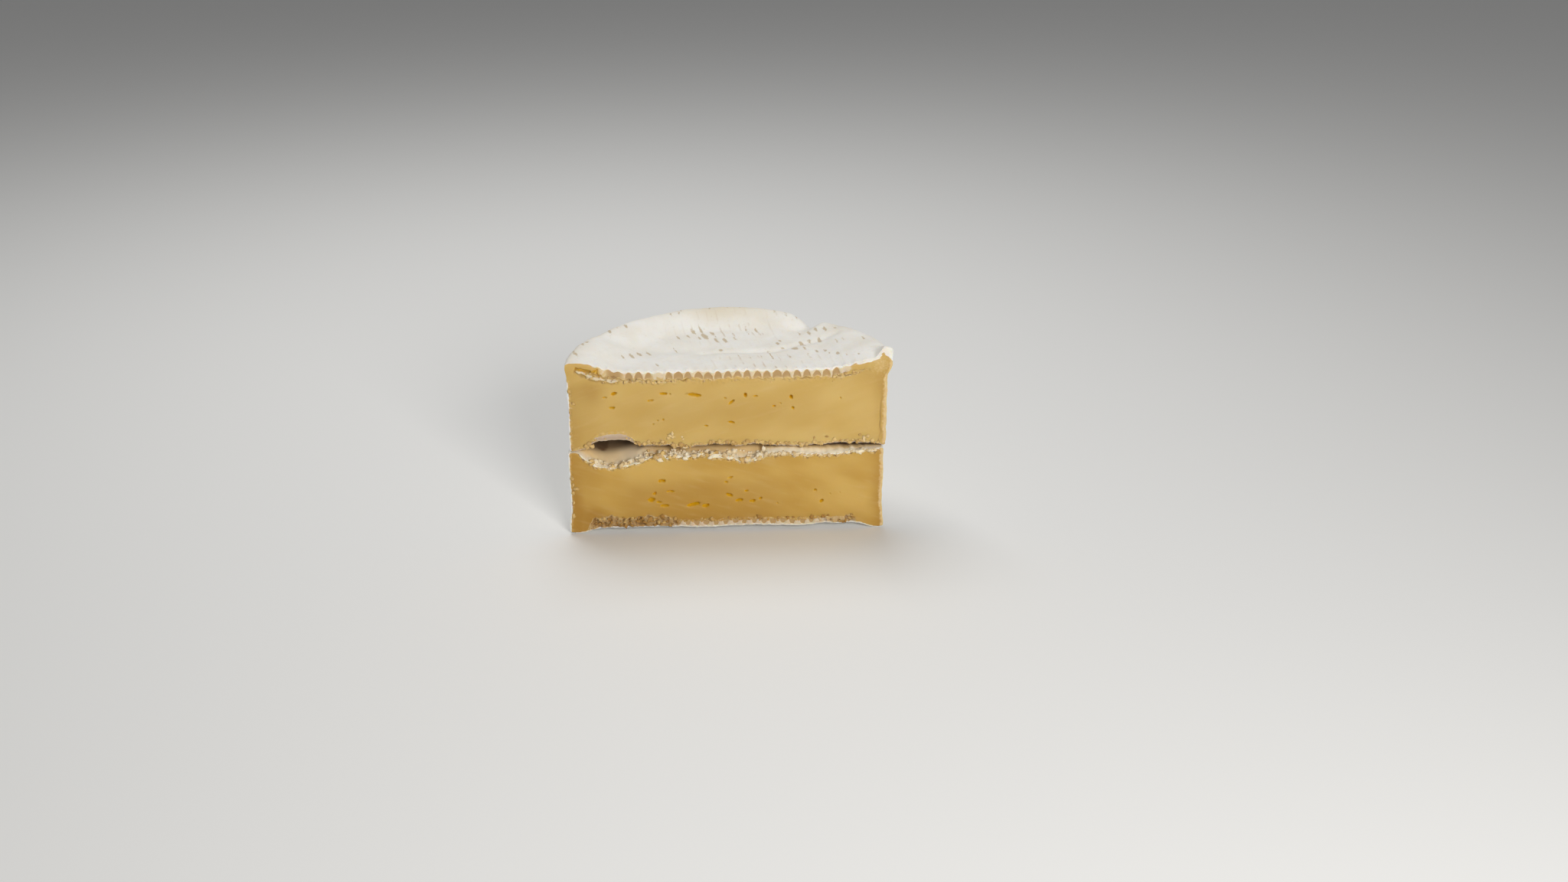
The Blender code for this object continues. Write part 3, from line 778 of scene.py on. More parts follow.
def upperBusy(x, z):
    top, low = wheelTop(x, 0 * x), upperLowEdge(x)
    tear = lineDistance(x, z, upperHalf["tear"])
    topBand, lowBand, tearBand = upperHalf["busyBands"]
    return (top - z < topBand) & (np.abs(x) < 47) | (z - low < lowBand) | (tear < tearBand)


def lowerBusy(x, z):
    top, low = lowerTopEdge(x), lowerLowEdge(x)
    deep = np.where(x < -17, 4.6, np.where(x < 34, 2.9, 3.2))
    return (top - z < 2.2) | (z - low < deep) & (np.abs(x) < 49)


# Rounds the cut's edge: how far in from the sharp corner, and how far the surface drops there
def roundOff(distance, radius):
    kept = np.where(distance < radius, 0.293 * radius + 0.707 * distance, distance)
    inside = np.clip(radius - kept, 0, radius)
    return kept, radius - np.sqrt(radius**2 - inside**2)


def dressFace(half, places, onFace, marks, paintFace):
    x, z = places[onFace, 0], places[onFace, 2]
    top, low = half["topAtCut"](x), half["lowAtCut"](x)
    fromTop, fromLow = np.maximum(top - z, 0), np.maximum(z - low, 0)
    ends = places[onFace & (np.abs(places[:, 1]) < 1e-6)]
    level = np.linspace(ends[:, 2].min(), ends[:, 2].max(), 60)
    reach = [np.abs(ends[:, 0])[np.abs(ends[:, 2] - at) < 1.5] for at in level]
    width = np.interp(z, level, [near.max() for near in reach])
    fromSide = np.maximum(width - np.abs(x), 0)

    painted = paintFace(x, z, fromTop, fromLow, fromSide)
    eyes, gold, browShadow = eyeHollows(half, x, z)
    painted["gold"] = np.maximum(painted["gold"], gold)
    # the eyes' painted rim shadows take the cracks' dark tone
    painted["crack"] = np.maximum(painted["crack"], 0.7 * browShadow)
    # the paste is riper, and darker, near the rind and the base; painted shade darkens it more at
    # the left end, towards the base and in a few patches
    nearRind = fade(fromSide + lumps(x, 60, z, 6, 1.5), 0, 6)
    nearRind *= 0.3 + 0.4 * smooth(x, -10, 10) + 0.4 * smooth(-x, 10, 30) * fade(z, 13, 19)
    left = fade(x + lumps(x, 61, z, 9, 3), -50, -38)
    nearBase = fade(fromLow, 0, 9) if half is lowerHalf else 0 * x
    if half is upperHalf:
        middle = 0.3 * bump(z - 44, 5) * fade(np.abs(x + 4), 20, 40)
        middle = middle + 0.45 * bump(np.hypot(x - 47, z - 57), 4)
        left = left * fade(z, 53, 57) + 1.1 * bump(np.hypot(x + 45, z - 52.5), 4.5)
    else:
        middle = 0.5 * fade(z, 15, 23) * between(x, -42, -30, 10, 30)
        middle = middle + 0.7 * bump(np.hypot((x + 45) / 1.3, z - 6.5), 3.5)
    painted["ripeAndShade"] = np.clip(nearRind + 0.45 * left + 0.4 * nearBase + middle, 0, 1)
    radius = detail["edgeRound"] * (1 + lumps(x, 55, 0, 2.5, 0.4))
    lip = radius + (upperHalf["lipRound"] - radius) * hollow(x, 0 * x) * (half is upperHalf)
    softer = radius + 0.6 * fade(np.abs(x), 44, 50)
    keptTop, dropTop = roundOff(fromTop, softer)
    keptLow, dropLow = roundOff(fromLow, lip)
    dropSide = roundOff(fromSide, 0.5 + 0 * x)[1]
    relief = np.clip(painted["relief"], *detail["reliefLimits"])
    places[onFace, 1] = np.maximum(np.maximum(dropTop, dropLow), dropSide) + eyes - relief
    places[onFace, 2] = np.where(fromTop < fromLow, top - keptTop, low + keptLow)
    for name, values in marks.items():
        values[onFace] = painted.get(name, 0)


wear = {
    "depth": 0.12,
    # x, y, length, width, how brown. They were read at this level, the rim's, and go down the
    # line of sight to the sunken surface.
    "readLevel": 61.8,
    "places": (
        (-51.3, 12.3, 9, 1.3, 0.7), (-49.3, 21.2, 3.5, 1.0, 0.8), (-47.8, 22.9, 2, 1.5, 0.6),
        (-40.5, 33.4, 4, 1.0, 0.9), (-35.0, 38.6, 3, 1.0, 0.9), (-37.8, 37.0, 2, 0.8, 0.5),
        (-32.0, 8.0, 4, 1.3, 1.0), (-29.4, 9.4, 4, 1.2, 1.0), (-26.3, 9.9, 5, 1.0, 1.0),
        (-34.8, 7.1, 3.5, 0.7, 0.7), (-23.2, -0.9, 2.5, 1.0, 0.7), (-20.0, 54.4, 3, 1.8, 0.9),
        (-19.3, 50.3, 2.5, 0.6, 0.7), (-16.6, 52.5, 2.5, 1.0, 0.7), (-16.0, 46.6, 3.5, 0.6, 0.8),
        (-5.9, 50.5, 4, 0.9, 0.9), (-2.7, 49.8, 4, 1.0, 0.8), (0.5, 51.2, 4, 1.0, 0.9),
        (0.9, 47.3, 4, 1.8, 0.8), (4.8, 49.0, 4, 2.4, 0.5), (8.4, 49.3, 3, 1.6, 0.8),
        (18.0, 49.4, 5, 0.9, 0.7), (21.8, 49.4, 3, 1.2, 0.6), (21.7, 44.4, 2.5, 0.9, 0.9),
        (25.4, 44.4, 2.5, 0.7, 0.8), (8.2, 39.8, 1.2, 0.7, 0.8), (-11.3, 31.2, 4, 1.2, 1.0),
        (-8.6, 34.0, 4.5, 0.9, 0.9), (-7.3, 26.6, 6.5, 2.0, 1.0), (-9.1, 24.8, 3, 1.0, 0.7),
        (-4.7, 29.4, 4, 1.2, 1.0), (-3.4, 22.3, 5, 1.0, 0.9), (-3.6, 25.9, 2.5, 0.8, 0.7),
        (-0.4, 21.9, 5, 1.2, 1.0), (2.9, 23.7, 3, 0.8, 0.7), (7.3, 32.6, 6, 1.1, 0.6),
        (10.7, 33.4, 5, 0.8, 0.6), (11.8, 28.0, 3, 0.9, 0.8), (-13.0, 26.6, 3.5, 0.8, 0.8),
        (-16.4, 25.1, 4.5, 0.6, 0.9), (17.5, 18.0, 2.8, 1.2, 1.0), (18.4, 20.5, 2, 0.8, 0.9),
        (25.5, 27.6, 3, 0.9, 0.8), (28.9, 28.4, 4, 1.0, 0.9), (31.4, 32.3, 3, 1.0, 0.9),
        (34.7, 32.3, 3.5, 1.0, 0.9), (38.4, 33.4, 1.5, 1.0, 0.8), (47.3, 22.3, 3, 0.9, 0.8),
        (38.0, 19.1, 3, 0.9, 0.6), (40.2, 21.2, 2.5, 0.8, 0.6), (32.0, 19.8, 4, 1.1, 1.0),
        (28.4, 18.4, 3, 1.0, 0.8), (25.5, 16.9, 3, 1.4, 1.0), (26.4, 15.9, 2.5, 1.4, 0.9),
        (30.2, 9.8, 3, 1.0, 0.9), (23.0, 12.9, 2.5, 2.6, 1.0), (26.4, 12.6, 4, 0.9, 0.8),
        (33.2, 10.3, 2.5, 0.9, 1.0), (34.5, 8.0, 1.5, 0.5, 0.7), (37.2, 7.4, 2, 0.9, 1.0),
        (40.2, 6.2, 1.5, 0.6, 0.7), (44.2, 6.4, 1.2, 0.7, 0.7), (27.7, 4.8, 5, 0.9, 0.5),
        (21.0, 5.1, 5, 1.0, 0.5), (14.5, 6.9, 11, 0.45, 0.9), (-2.0, 11.9, 1, 1.5, 0.9),
        (19.0, 12.6, 1.2, 1.5, 0.6), (-17.3, 12.3, 7, 0.4, 0.8), (17.7, 5.9, 5, 0.5, 0.4),
        (8.0, 3.7, 5, 0.5, 0.4), (11.2, 5.9, 6, 0.4, 0.35), (3.7, 6.6, 4, 0.4, 0.35),
    ),
}


def onTop(x, y):
    eyeX = shot["place"][0] - wheel["cutMiddleX"] - upperHalf["shift"]
    eyeY, eyeZ = shot["place"][1] - wheel["cutY"], shot["place"][2]
    height = wear["readLevel"]
    for _ in range(5):
        share = (eyeZ - height) / (eyeZ - wear["readLevel"])
        px, py = eyeX + (x - eyeX) * share, eyeY + (y - eyeY) * share
        height = float(wheelTop(np.array([px]), np.array([max(py, 0)]))[0])
    return px, py


def wearOnTop(x, y):
    worn = np.zeros(len(x))
    for px, py, length, width, strength in wear["places"]:
        px, py = onTop(px, py)
        lean = math.radians(float(np.clip(15 - 0.2 * px, 6, 20)))
        near = np.abs(y - py) < length
        along = (y[near] - py) * math.cos(lean) - (x[near] - px) * math.sin(lean)
        aside = (x[near] - px) * math.cos(lean) + (y[near] - py) * math.sin(lean)
        q = np.hypot(along / (length / 2 + 0.2), aside / (width / 2 + 0.05))
        worn[near] = np.maximum(worn[near], strength * fade(q, 0.3, 1.5))
    return worn


def dressSkin(half, places, skin, marks):
    x, y, z = places[skin].T
    marks["mould"][skin] = 1
    sheetTop = (z > 20) & (z < 40) & (np.hypot(x, y) < wheel["radius"] - 0.6)
    marks["cream"][skin] = sheetTop
    # Painted shade in the gap between the halves: the sheet turns tan and then near black further
    # back, with two near-black patches at the left, and less of it round x = -31.5.
    inHollow, atRight = hollow(x, 0 * x), sharpTurn(x)
    bright = bump(x + 31.5, 5)
    start = 3.6 + 1.4 * inHollow - 2.1 * atRight + 2.5 * bright
    deep = (1 - 0.1 * inHollow) * smooth((y - start) / (4 + inHollow - 2.2 * atRight), 0, 1)
    shadedSlits = bump(x + 42.4, 1.1) * smooth(y, 7, 10) + bump(x + 28.7, 1.8) * smooth(y, 4, 7)
    fades = smooth(y, 0.8, 3.5 - 1.3 * atRight + 3 * bright)
    marks["sheet"][skin] = sheetTop * fades * (1 - 0.7 * bright) * (1 - 0.3 * inHollow)
    marks["deep"][skin] = sheetTop * np.clip(deep + shadedSlits, 0, 1)
    if half is not upperHalf:
        return
    # painted shade on the upper half's underside
    marks["dusk"][skin] = sheetTop
    topHeight = wheelTop(0.92 * x, 0.92 * y)
    onSheet = z > topHeight - 4
    worn = np.zeros(len(x))
    worn[onSheet] = wearOnTop(x[onSheet], y[onSheet])
    worn *= smooth(z - topHeight, -4, -2)
    marks["worn"][skin] = worn
    hump = bump((x + 1) / 17, 1) * smooth(y, 40, 50) * smooth(z, 46, 62)
    high = smooth(z, 49, 61)
    rightPatch = bump(np.hypot(x - 40, y - 31), 5) * high
    leftRim = smooth(np.hypot(x, y), 49, 53) * smooth(-x, 30, 45) * 0.5 * high
    marks["tan"][skin] = np.maximum.reduce([hump, 0.6 * rightPatch, leftRim])
    lines = bump((x - 2) / 14, 1) * bump((y - 36) / 9, 1)
    lines = lines + bump((x - 16) / 18, 1) * fade(y, 10, 16)
    marks["lines"][skin] = lines * (z > 50)
    places[skin, 2] -= wear["depth"] * worn


def finishHalf(half, paintFace, busy, rind, paste):
    mesh = halfMesh(half)
    divideBusy(half, mesh, busy)
    places, onFace = readMesh(mesh)
    marks = {name: np.zeros(len(places)) for name in detail["marks"]}
    dressSkin(half, places, ~onFace, marks)
    dressFace(half, places, onFace, marks, paintFace)
    half["cutPlaces"] = places[onFace].copy()
    addMarks(mesh, marks)
    places += (wheel["cutMiddleX"] + half["shift"], wheel["cutY"], 0)
    low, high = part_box(half["name"])
    places = np.clip(places * mm, np.array(low), np.array(high))
    mesh.vertices.foreach_set("co", places.ravel())
    mesh.materials.append(rind)
    mesh.materials.append(paste)
    bm = bmesh.new()
    bm.from_mesh(mesh)
    bmesh.ops.recalc_face_normals(bm, faces=bm.faces)
    bm.to_mesh(mesh)
    bm.free()
    mesh.shade_smooth()
    made = addObject(half["name"].replace("_half", "HalfWheel"), mesh)
    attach(made, "root")
    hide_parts(half["name"])
    print(made.name, len(mesh.polygons), "faces")


# Crumbs that the knife left. Each row is x, height, width, its own height, how brown, how white.
crumbWork = {
    "seed": 11,
    "seamCount": 190,
    "seamSpan": (-50.5, 51),
    "curdCount": 300,
    "curdSpan": (-47, 51.5),
    "leftSpan": (-47, -17),  # the crumbly line at the left of both halves
    # count, share at the left, share at both ends, span at the right
    "crust": (55, 0.6, 0.85, (35, 47)),
    "base": (120, 0.68, 0.9, (31, 44)),
    "proud": 0.5,  # how far crumbs may stand off the solid
    "flatness": 0.18,  # depth of a crumb as a share of its width
    "sheetSlope": 1.7,  # how far back a curd lies for each mm that it is over the edge
    "seamFlakes": (
        (-18.9, 36.7, 1.7, 1.5, 0.0, 0.3), (-19.7, 36.0, 1.6, 1.5, 0.0, 0.25),
        (-20.3, 35.1, 1.3, 1.4, 0.1, 0.2), (-18.7, 35.5, 1.1, 1.3, 0.1, 0.25),
        (-15.7, 35.4, 0.9, 1.2, 0.0, 0.25), (-15.3, 34.6, 0.8, 0.9, 0.1, 0.2),
        (-14.9, 31.5, 1.9, 1.1, 0.2, 0.4), (45.9, 33.4, 1.5, 2.6, 0.2, 0.3),
        (47.3, 34.4, 1.3, 1.1, 0.3, 0.2), (44.6, 34.9, 1.1, 0.8, 0.6, 0.0),
        (29.0, 34.3, 0.7, 1.2, 0.7, 0.0), (33.4, 34.5, 1.1, 0.7, 0.7, 0.0),
        (-52.8, 52.3, 1.3, 1.6, 0.4, 0.0), (-52.7, 51.0, 1.0, 1.2, 0.5, 0.0),
        (-51.6, 48.2, 1.8, 1.2, 0.4, 0.0), (-52.8, 44.6, 0.9, 1.6, 0.5, 0.0),
        (-52.9, 37.4, 0.9, 1.5, 0.5, 0.0),
        (-46.2, 32.6, 1.8, 1.2, 0.3, 0.1), (-47.8, 31.9, 1.5, 1.0, 0.4, 0.1),
    ),
    "baseFlakes": (
        (-52.5, 20.8, 1.4, 1.4, 0.4, 0.0), (-52.2, 18.6, 1.2, 1.8, 0.3, 0.0),
        (-51.4, 17.0, 2.0, 1.5, 0.4, 0.0), (-52.4, 15.4, 0.9, 1.3, 0.4, 0.0),
        (-52.5, 6.9, 1.3, 1.8, 0.3, 0.0), (-52.3, 11.7, 0.8, 1.2, 0.4, 0.0),
    ),
    "curdFlakes": (
        (-27.0, 28.4, 1.5, 2.2, 0.1, 0.35), (-26.3, 29.7, 1.3, 1.2, 0.4, 0.2),
        (12.7, 29.2, 1.1, 3.4, 0.1, 0.8), (13.5, 30.6, 1.2, 1.0, 0.3, 0.4),
        (-8.8, 28.6, 2.6, 1.8, 0.0, 0.9), (-5.5, 27.6, 2.4, 1.4, 0.1, 0.8),
        (-22.5, 27.0, 2.4, 1.5, 0.1, 0.7), (-14.0, 27.4, 2.2, 1.6, 0.1, 0.8),
        (45.5, 28.9, 2.4, 2.0, 0.1, 0.7), (23.4, 27.6, 1.6, 1.2, 0.3, 0.4),
    ),
}
dice = np.random.default_rng(crumbWork["seed"])


def crumbRows(x, z, sizes, brown, white):
    count = len(x)
    width = np.minimum(dice.gamma(4, sizes / 4, count) + 0.25, 1.9 * sizes)
    tall = width * dice.uniform(0.65, 1.25, count)
    brown = brown[0] + (brown[1] - brown[0]) * dice.random(count)
    white = white[0] + (white[1] - white[0]) * dice.random(count)
    return list(zip(x, z, width, tall, brown, white))


# Places along a cut edge, most of them at its ends
def alongEdge(count, atLeft, atEnds, rightSpan):
    place = dice.random(count)
    left, right = dice.uniform(*crumbWork["leftSpan"], count), dice.uniform(*rightSpan, count)
    middle = dice.uniform(crumbWork["leftSpan"][1], rightSpan[0], count)
    return np.where(place < atLeft, left, np.where(place < atEnds, right, middle))


def seamCrumbs():
    x = dice.uniform(*crumbWork["seamSpan"], crumbWork["seamCount"])
    x = x[dice.random(len(x)) > 0.95 * bump(x + 38, 7)]
    z = upperLowEdge(x) + 0.3 + np.abs(dice.normal(0, 0.5, len(x)))
    rows = crumbRows(x, z, 0.8, (0.0, 0.7), (0.0, 0.15))
    return rows + list(crumbWork["seamFlakes"])


def crustCrumbs():
    x = alongEdge(*crumbWork["crust"])
    fromTop = upperHalf["archBand"] + 0.8 + dice.normal(0, 0.4, len(x))
    fromTop = np.where((x < -38) & (dice.random(len(x)) < 0.5), fromTop + 1.0, fromTop)
    return crumbRows(x, upperHalf["topAtCut"](x) - fromTop, 0.6, (0.0, 0.6), (0.0, 0.2))


def mouldCurds():
    x = dice.uniform(*crumbWork["curdSpan"], crumbWork["curdCount"])
    x = x[dice.random(len(x)) > 0.35 * sharpTurn(x)]
    atRight = sharpTurn(x)
    inHollow = between(x, *wheel["curdsSag"])
    hang = np.abs(dice.normal(0, 0.5 - 0.25 * atRight, len(x)))
    rise = dice.uniform(-0.9, 1.7, len(x)) * (1 - atRight) * (1 - 0.4 * inHollow)
    z = lowerTopEdge(x) + 0.2 - 0.6 * atRight + 0.3 * inHollow + np.where(rise > 0, rise, -hang)
    white = smooth(rise - hang, -0.8, 0.3) * (1 - 0.5 * bump(x + 41, 4)) * (1 - 0.25 * atRight)
    rows = crumbRows(x, z, 1.15 - 0.4 * atRight, (0.0, 0.6), (0.0, 0.35))
    rows = [row[:5] + (row[5] + 0.5 * share,) for row, share in zip(rows, white)]
    return rows + list(crumbWork["curdFlakes"])


def baseCrumbs():
    x = alongEdge(*crumbWork["base"])
    leftEnd, rightStart = crumbWork["leftSpan"][1], crumbWork["base"][3][0]
    tall = np.where(x < leftEnd, 3.6, np.where(x > rightStart, 2.4, 0.5))
    start = np.where((x > leftEnd) & (x < rightStart), 2.7, 0.5)
    z = lowerLowEdge(x) + start + tall * dice.random(len(x))
    return crumbRows(x, z, 0.8, (0.35, 1.5), (0.0, 0.0)) + list(crumbWork["baseFlakes"])


def makeCrumbs(name, half, rows, material):
    bm = bmesh.new()
    bmesh.ops.create_icosphere(bm, subdivisions=2, radius=1)
    ball = np.array([vertex.co for vertex in bm.verts])
    corners = np.array([[vertex.index for vertex in face.verts] for face in bm.faces])
    bm.free()
    cut = half["cutPlaces"]
    reach = wheel["cutY"] - cadBox[0][1] / mm + crumbWork["proud"]
    places, faces, crust, mould = [], [], [], []
    for number, (x, z, width, tall, brown, white) in enumerate(rows):
        surface = cut[np.argmin((cut[:, 0] - x) ** 2 + (cut[:, 2] - z) ** 2), 1]
        above = z - float(lowerTopEdge(np.array([x]))[0]) if half is lowerHalf else 0
        if above > 0:  # it lies on the sheet behind the edge
            surface = crumbWork["sheetSlope"] * above
            z = float(half["top"](np.array([x]), np.array([surface]))[0]) + 0.15 * tall
        turn = np.array(Euler(dice.uniform(0, 6.28, 3)).to_matrix())
        uneven = lumps(ball[:, 0], ball[:, 1] + number * 5.0, ball[:, 2], 0.65, 1.0)
        form = ball * (1 + uneven)[:, None] * dice.uniform(0.6, 1.2, 3) @ turn
        form = form * (width / 2, crumbWork["flatness"] * width + 0.1, tall / 2)
        surface = max(surface, -reach - form[:, 1].min())
        places.append(form + (x, surface, z))
        faces.append(corners + number * len(ball))
        crust += [brown] * len(ball)
        mould += [white] * len(ball)
    places = np.concatenate(places) + (wheel["cutMiddleX"] + half["shift"], wheel["cutY"], 0)
    low = np.array(cadBox[0]) - (0, crumbWork["proud"] * mm, 0)
    places = np.clip(places * mm, low, np.array(cadBox[1]))
    mesh = bpy.data.meshes.new(name)
    mesh.from_pydata(places.tolist(), [], np.concatenate(faces).tolist())
    addMarks(mesh, {"crust": crust, "mould": mould})
    mesh.materials.append(material)
    mesh.shade_smooth()
    made = addObject(name, mesh)
    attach(made, "root")
    print(name, len(rows), "crumbs")


# Short helpers for the materials
def addNode(tree, kind, values=(), **options):
    made = tree.nodes.new(kind)
    for name, value in options.items():
        setattr(made, name, value)
    for socket, value in dict(values).items():
        if isinstance(value, bpy.types.NodeSocket):
            tree.links.new(value, made.inputs[socket])
        else:
            made.inputs[socket].default_value = value
    return made


def calc(tree, operation, first, second=0.0):
    made = addNode(tree, "ShaderNodeMath", {0: first, 1: second}, operation=operation)
    return made.outputs[0]


def plus(tree, first, second):
    return calc(tree, "ADD", first, second)


def minus(tree, first, second):
    return calc(tree, "SUBTRACT", first, second)


def times(tree, first, second):
    return calc(tree, "MULTIPLY", first, second)


def ramp(tree, value, low, high):
    values = {"Value": value, "From Min": low, "From Max": high}
    made = addNode(tree, "ShaderNodeMapRange", values, interpolation_type="SMOOTHSTEP")
    return made.outputs["Result"]


def mix(tree, share, first, second):
    values = {"Factor": share, "A": first, "B": second}
    made = tree.nodes.new("ShaderNodeMix")
    made.data_type = "RGBA"
    sockets = {"Factor": made.inputs[0], "A": made.inputs[6], "B": made.inputs[7]}
    for name, value in values.items():
        if isinstance(value, bpy.types.NodeSocket):
            tree.links.new(value, sockets[name])
        else:
            sockets[name].default_value = value
    return made.outputs[2]


def mark(tree, name):
    made = addNode(tree, "ShaderNodeAttribute", attribute_type="GEOMETRY", attribute_name=name)
    return made.outputs["Fac"]


# Noise with lumps about as wide as size, in mm, stretched by the vector
def cloud(tree, size, detailLevel=3.0, stretch=(1, 1, 1), turn=(0, 0, 0)):
    coords = addNode(tree, "ShaderNodeTexCoord").outputs["Object"]
    scale = tuple(size * mm * part for part in stretch)
    values = {"Vector": coords, "Scale": scale, "Rotation": tuple(math.radians(a) for a in turn)}
    placed = addNode(tree, "ShaderNodeMapping", values, vector_type="TEXTURE").outputs[0]
    values = {"Vector": placed, "Scale": 1.0, "Detail": detailLevel}
    return addNode(tree, "ShaderNodeTexNoise", values).outputs["Fac"]


finish = {
    "white": (0.86, 0.845, 0.80, 1),
    "whiteWarm": (0.82, 0.785, 0.71, 1),
    "tan": (0.70, 0.60, 0.42, 1),
    "brown": (0.42, 0.25, 0.10, 1),
    "worn": (0.43, 0.285, 0.10, 1),
    # painted shade for the rind under the upper half and over the hollow
    "rindShade": (0.53, 0.375, 0.245, 1),
    "crustPale": (0.725, 0.545, 0.275, 1),
    "crustBrown": (0.51, 0.332, 0.145, 1),
    # near-black brown laid on as painted shade in cracks, pits and under overhangs
    "crack": (0.27, 0.13, 0.025, 1),
    "gold": (0.72, 0.41, 0.002, 1),
    "cream": (0.91, 0.80, 0.59, 1),
    # painted shade in the gap: the tan of its sheet, and near black further back
    "sheet": (0.78, 0.575, 0.28, 1),
    "deep": (0.12, 0.062, 0.02, 1),
    "crumbPale": (0.76, 0.53, 0.205, 1),
    "crumbDeep": (0.41, 0.215, 0.05, 1),
    "curd": (0.93, 0.825, 0.62, 1),
}


# tone laid over the white mould at each mark, and how strongly. The last three are painted shade
# under the upper half: the shaded rind, the gap's tan sheet and its near black.
mouldTones = {
    "tan": ("tan", 0.6),
    "cream": ("cream", 0.9),
    "dusk": ("rindShade", 0.85),
    "sheet": ("sheet", 1.0),
    "deep": ("deep", 1.0),
}

# bump: strength, depth in mm. The others are the shader's own values.
surfaces = {
    "rind": {
        "bump": (0.25, 0.12),
        "Roughness": 0.92,
        "Specular IOR Level": 0.2,
        "Subsurface Weight": 0.35,
        "Subsurface Radius": (1.0, 0.8, 0.55),
        "Subsurface Scale": 1.5 * mm,
        "Sheen Weight": 0.12,
        "Sheen Roughness": 0.6,
    },
    "paste": {
        "bump": (0.2, 0.1),
        "Specular IOR Level": 0.35,
        "Subsurface Weight": 0.6,
        "Subsurface Radius": (1.0, 0.7, 0.3),
        "Subsurface Scale": 2.2 * mm,
    },
    "crumbs": {
        "bump": (0.3, 0.1),
        "Roughness": 0.75,
        "Specular IOR Level": 0.3,
        "Subsurface Weight": 0.2,
        "Subsurface Radius": (1.0, 0.8, 0.6),
        "Subsurface Scale": 0.2 * mm,
    },
}


def newMaterial(name):
    made = bpy.data.materials.new(name)
    made.use_nodes = True
    tree = made.node_tree
    return made, tree, tree.nodes["Principled BSDF"]


# Lays a tone over the colour
def tint(tree, colour, where, strength, tone):
    return mix(tree, times(tree, where, strength), colour, finish[tone])


def dressShader(tree, shader, colour, grit, surface):
    strength, depth = surface["bump"]
    values = {"Height": grit, "Strength": strength, "Distance": depth * mm}
    fine = addNode(tree, "ShaderNodeBump", values)
    tree.links.new(colour, shader.inputs["Base Color"])
    tree.links.new(fine.outputs[0], shader.inputs["Normal"])
    for socket, value in surface.items():
        if socket != "bump":
            shader.inputs[socket].default_value = value


def mouldColour(tree):
    soft = mix(tree, ramp(tree, cloud(tree, 9), 0.3, 0.7), finish["white"], finish["whiteWarm"])
    soft = tint(tree, soft, ramp(tree, cloud(tree, 1.2, 5), 0.55, 0.8), 0.25, "tan")
    for name, (tone, strength) in mouldTones.items():
        soft = tint(tree, soft, mark(tree, name), strength, tone)
    return soft


def rindMaterial():
    made, tree, shader = newMaterial("whiteMouldRind")
    colour = mouldColour(tree)
    # thin brown lines between the mat's straws
    phase = calc(tree, "FRACT", plus(tree, mark(tree, "phase"), 40.0))
    groove = minus(tree, 0.5, calc(tree, "ABSOLUTE", minus(tree, phase, 0.5)))
    thin = minus(tree, 1.0, ramp(tree, groove, 0.03, 0.15))
    shown = ramp(tree, cloud(tree, 2.6, 3, (1, 2.2, 1)), 0.45, 0.65)
    lines = times(tree, times(tree, thin, shown), mark(tree, "lines"))
    colour = tint(tree, colour, lines, 0.45, "brown")
    ragged = times(tree, minus(tree, cloud(tree, 0.9, 5, (1, 1.8, 1)), 0.5), 1.6)
    worn = ramp(tree, plus(tree, mark(tree, "worn"), ragged), 0.2, 0.75)
    colour = tint(tree, colour, worn, 0.62, "worn")
    dressShader(tree, shader, colour, cloud(tree, 0.7, 4), surfaces["rind"])
    return made


def pasteMaterial(name, tones):
    made, tree, shader = newMaterial(name)
    turn = (0, tones["streakTurn"], 0)
    broad = ramp(tree, cloud(tree, 14, 2, (1.6, 1, 0.8), turn), 0.3, 0.7)
    colour = mix(tree, broad, tones["deep"], tones["light"])
    # riper paste near the rind, and painted shade at the left, the base and in patches
    colour = mix(tree, mark(tree, "ripeAndShade"), colour, tones["ripeAndShade"])
    streak = ramp(tree, cloud(tree, 2.4, 4, (5, 1, 0.9), turn), 0.5, 0.8)
    colour = tint(tree, colour, streak, 0.17, "crustPale")
    grit = cloud(tree, 0.8, 4)
    uneven = times(tree, minus(tree, grit, 0.5), 0.8)
    crust = mark(tree, "crust")
    browned = ramp(tree, crust, 0.45, 0.95)
    crusty = mix(tree, browned, finish["crustPale"], finish["crustBrown"])
    colour = mix(tree, ramp(tree, plus(tree, crust, uneven), 0.1, 0.6), colour, crusty)
    tongue = ramp(tree, plus(tree, mark(tree, "tongue"), uneven), 0.25, 0.75)
    colour = tint(tree, colour, tongue, 0.5, "whiteWarm")
    mould = ramp(tree, plus(tree, mark(tree, "mould"), times(tree, uneven, 0.6)), 0.3, 0.7)
    colour = mix(tree, mould, colour, mouldColour(tree))
    colour = mix(tree, mark(tree, "gold"), colour, finish["gold"])
    # painted shade in cracks, pits and under overhangs
    colour = tint(tree, colour, mark(tree, "crack"), 0.85, "crack")
    tree.links.new(plus(tree, times(tree, mould, 0.35), 0.5), shader.inputs["Roughness"])
    dressShader(tree, shader, colour, grit, surfaces["paste"])
    return made


def crumbMaterial():
    made, tree, shader = newMaterial("crumbs")
    grit = cloud(tree, 0.6, 4)
    uneven = times(tree, minus(tree, grit, 0.5), 0.7)
    brown = ramp(tree, plus(tree, mark(tree, "crust"), uneven), 0.0, 1.0)
    colour = mix(tree, brown, finish["crumbPale"], finish["crumbDeep"])
    white = ramp(tree, plus(tree, mark(tree, "mould"), uneven), 0.0, 0.9)
    colour = mix(tree, white, colour, finish["curd"])
    dressShader(tree, shader, colour, grit, surfaces["crumbs"])
    return made


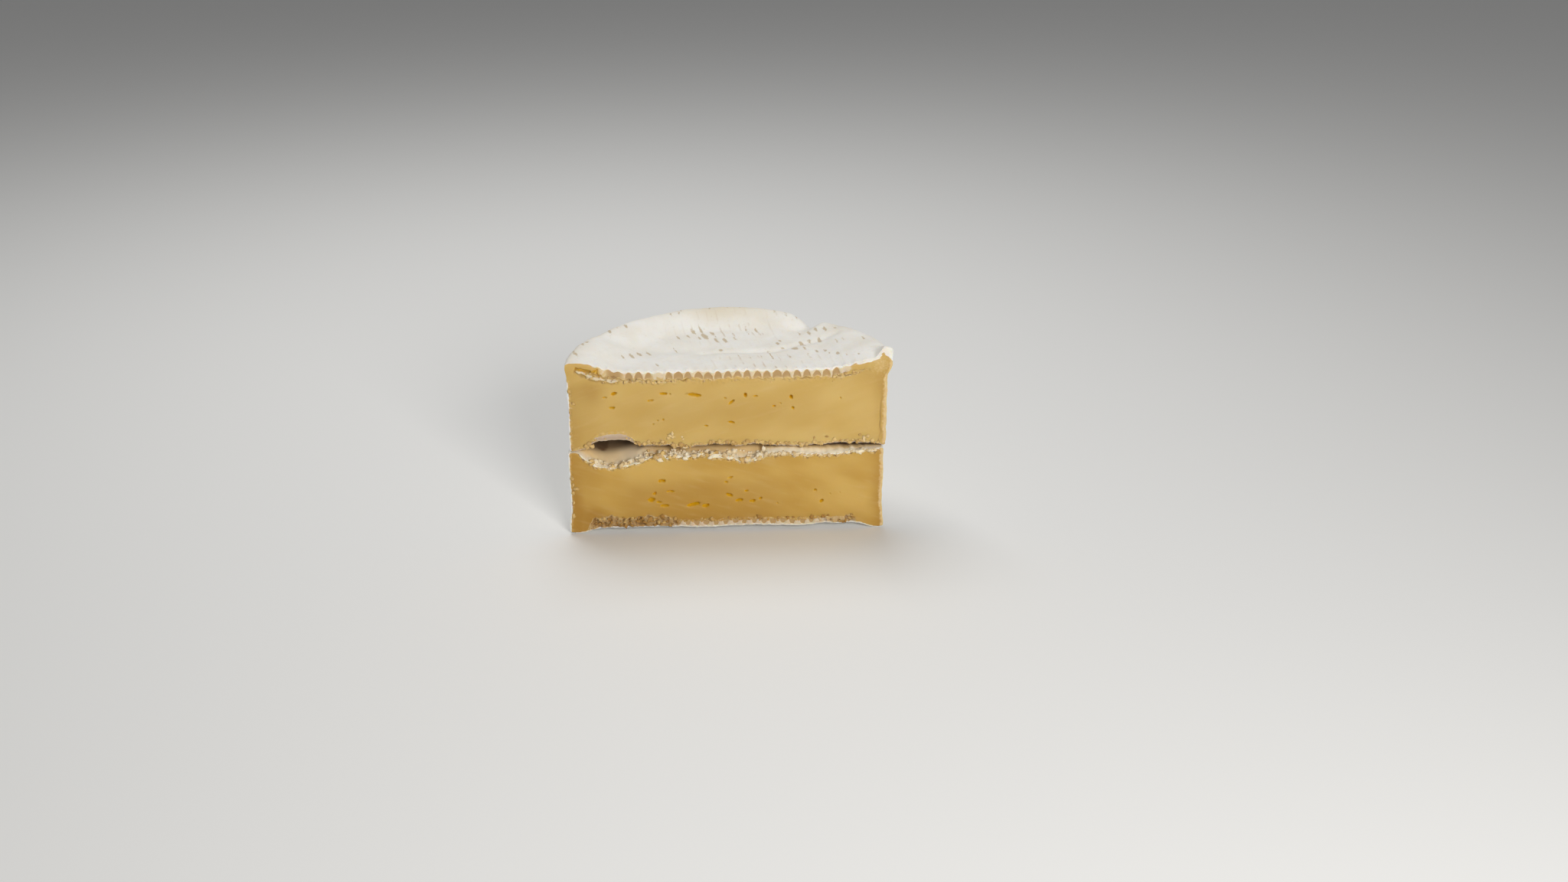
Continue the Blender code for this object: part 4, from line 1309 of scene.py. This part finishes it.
def makeCamera():
    data = bpy.data.cameras.new("photoView")
    data.lens = shot["lens"]
    data.sensor_width = shot["sensor"]
    data.clip_start = 0.01
    camera = addObject("photoView", data)
    camera.location = [part * mm for part in shot["place"]]
    camera.rotation_euler = Euler([math.radians(part) for part in shot["turn"]])
    bpy.context.scene.camera = camera


def makeFloor():
    bm = bmesh.new()
    bmesh.ops.create_grid(bm, x_segments=1, y_segments=1, size=3)
    mesh = bpy.data.meshes.new("paleFloor")
    bm.to_mesh(mesh)
    bm.free()
    made, _, shader = newMaterial("paleFloor")
    shader.inputs["Base Color"].default_value = studio["floorColour"]
    shader.inputs["Roughness"].default_value = 0.8
    mesh.materials.append(made)
    floor = addObject("paleFloor", mesh)


def makeLight():
    world = bpy.data.worlds.new("paleRoom")
    world.use_nodes = True
    sky = world.node_tree.nodes["Background"]
    sky.inputs["Color"].default_value = studio["worldColour"]
    sky.inputs["Strength"].default_value = studio["worldStrength"]
    bpy.context.scene.world = world
    for name, (place, aim, size, power, colour) in studio["lamps"].items():
        data = bpy.data.lights.new(name, "AREA")
        data.size = size
        data.energy = power
        data.color = colour
        lamp = addObject(name, data)
        lamp.location = place
        away = np.array(place) - np.array(aim)
        pitch = math.atan2(math.hypot(away[0], away[1]), away[2])
        lamp.rotation_euler = (pitch, 0, math.atan2(away[0], -away[1]))
    bpy.context.scene.view_settings.view_transform = "Standard"


makeCamera()
makeFloor()
makeLight()
print("camera, floor and light made")

rind = rindMaterial()
upperPaste = pasteMaterial("upperPaste", upperHalf["paste"])
lowerPaste = pasteMaterial("lowerPaste", lowerHalf["paste"])
finishHalf(upperHalf, upperFace, upperBusy, rind, upperPaste)
finishHalf(lowerHalf, lowerFace, lowerBusy, rind, lowerPaste)
crumbs = crumbMaterial()
makeCrumbs("seamCrumbs", upperHalf, seamCrumbs(), crumbs)
makeCrumbs("crustCrumbs", upperHalf, crustCrumbs(), crumbs)
makeCrumbs("mouldCurds", lowerHalf, mouldCurds(), crumbs)
makeCrumbs("baseCrumbs", lowerHalf, baseCrumbs(), crumbs)
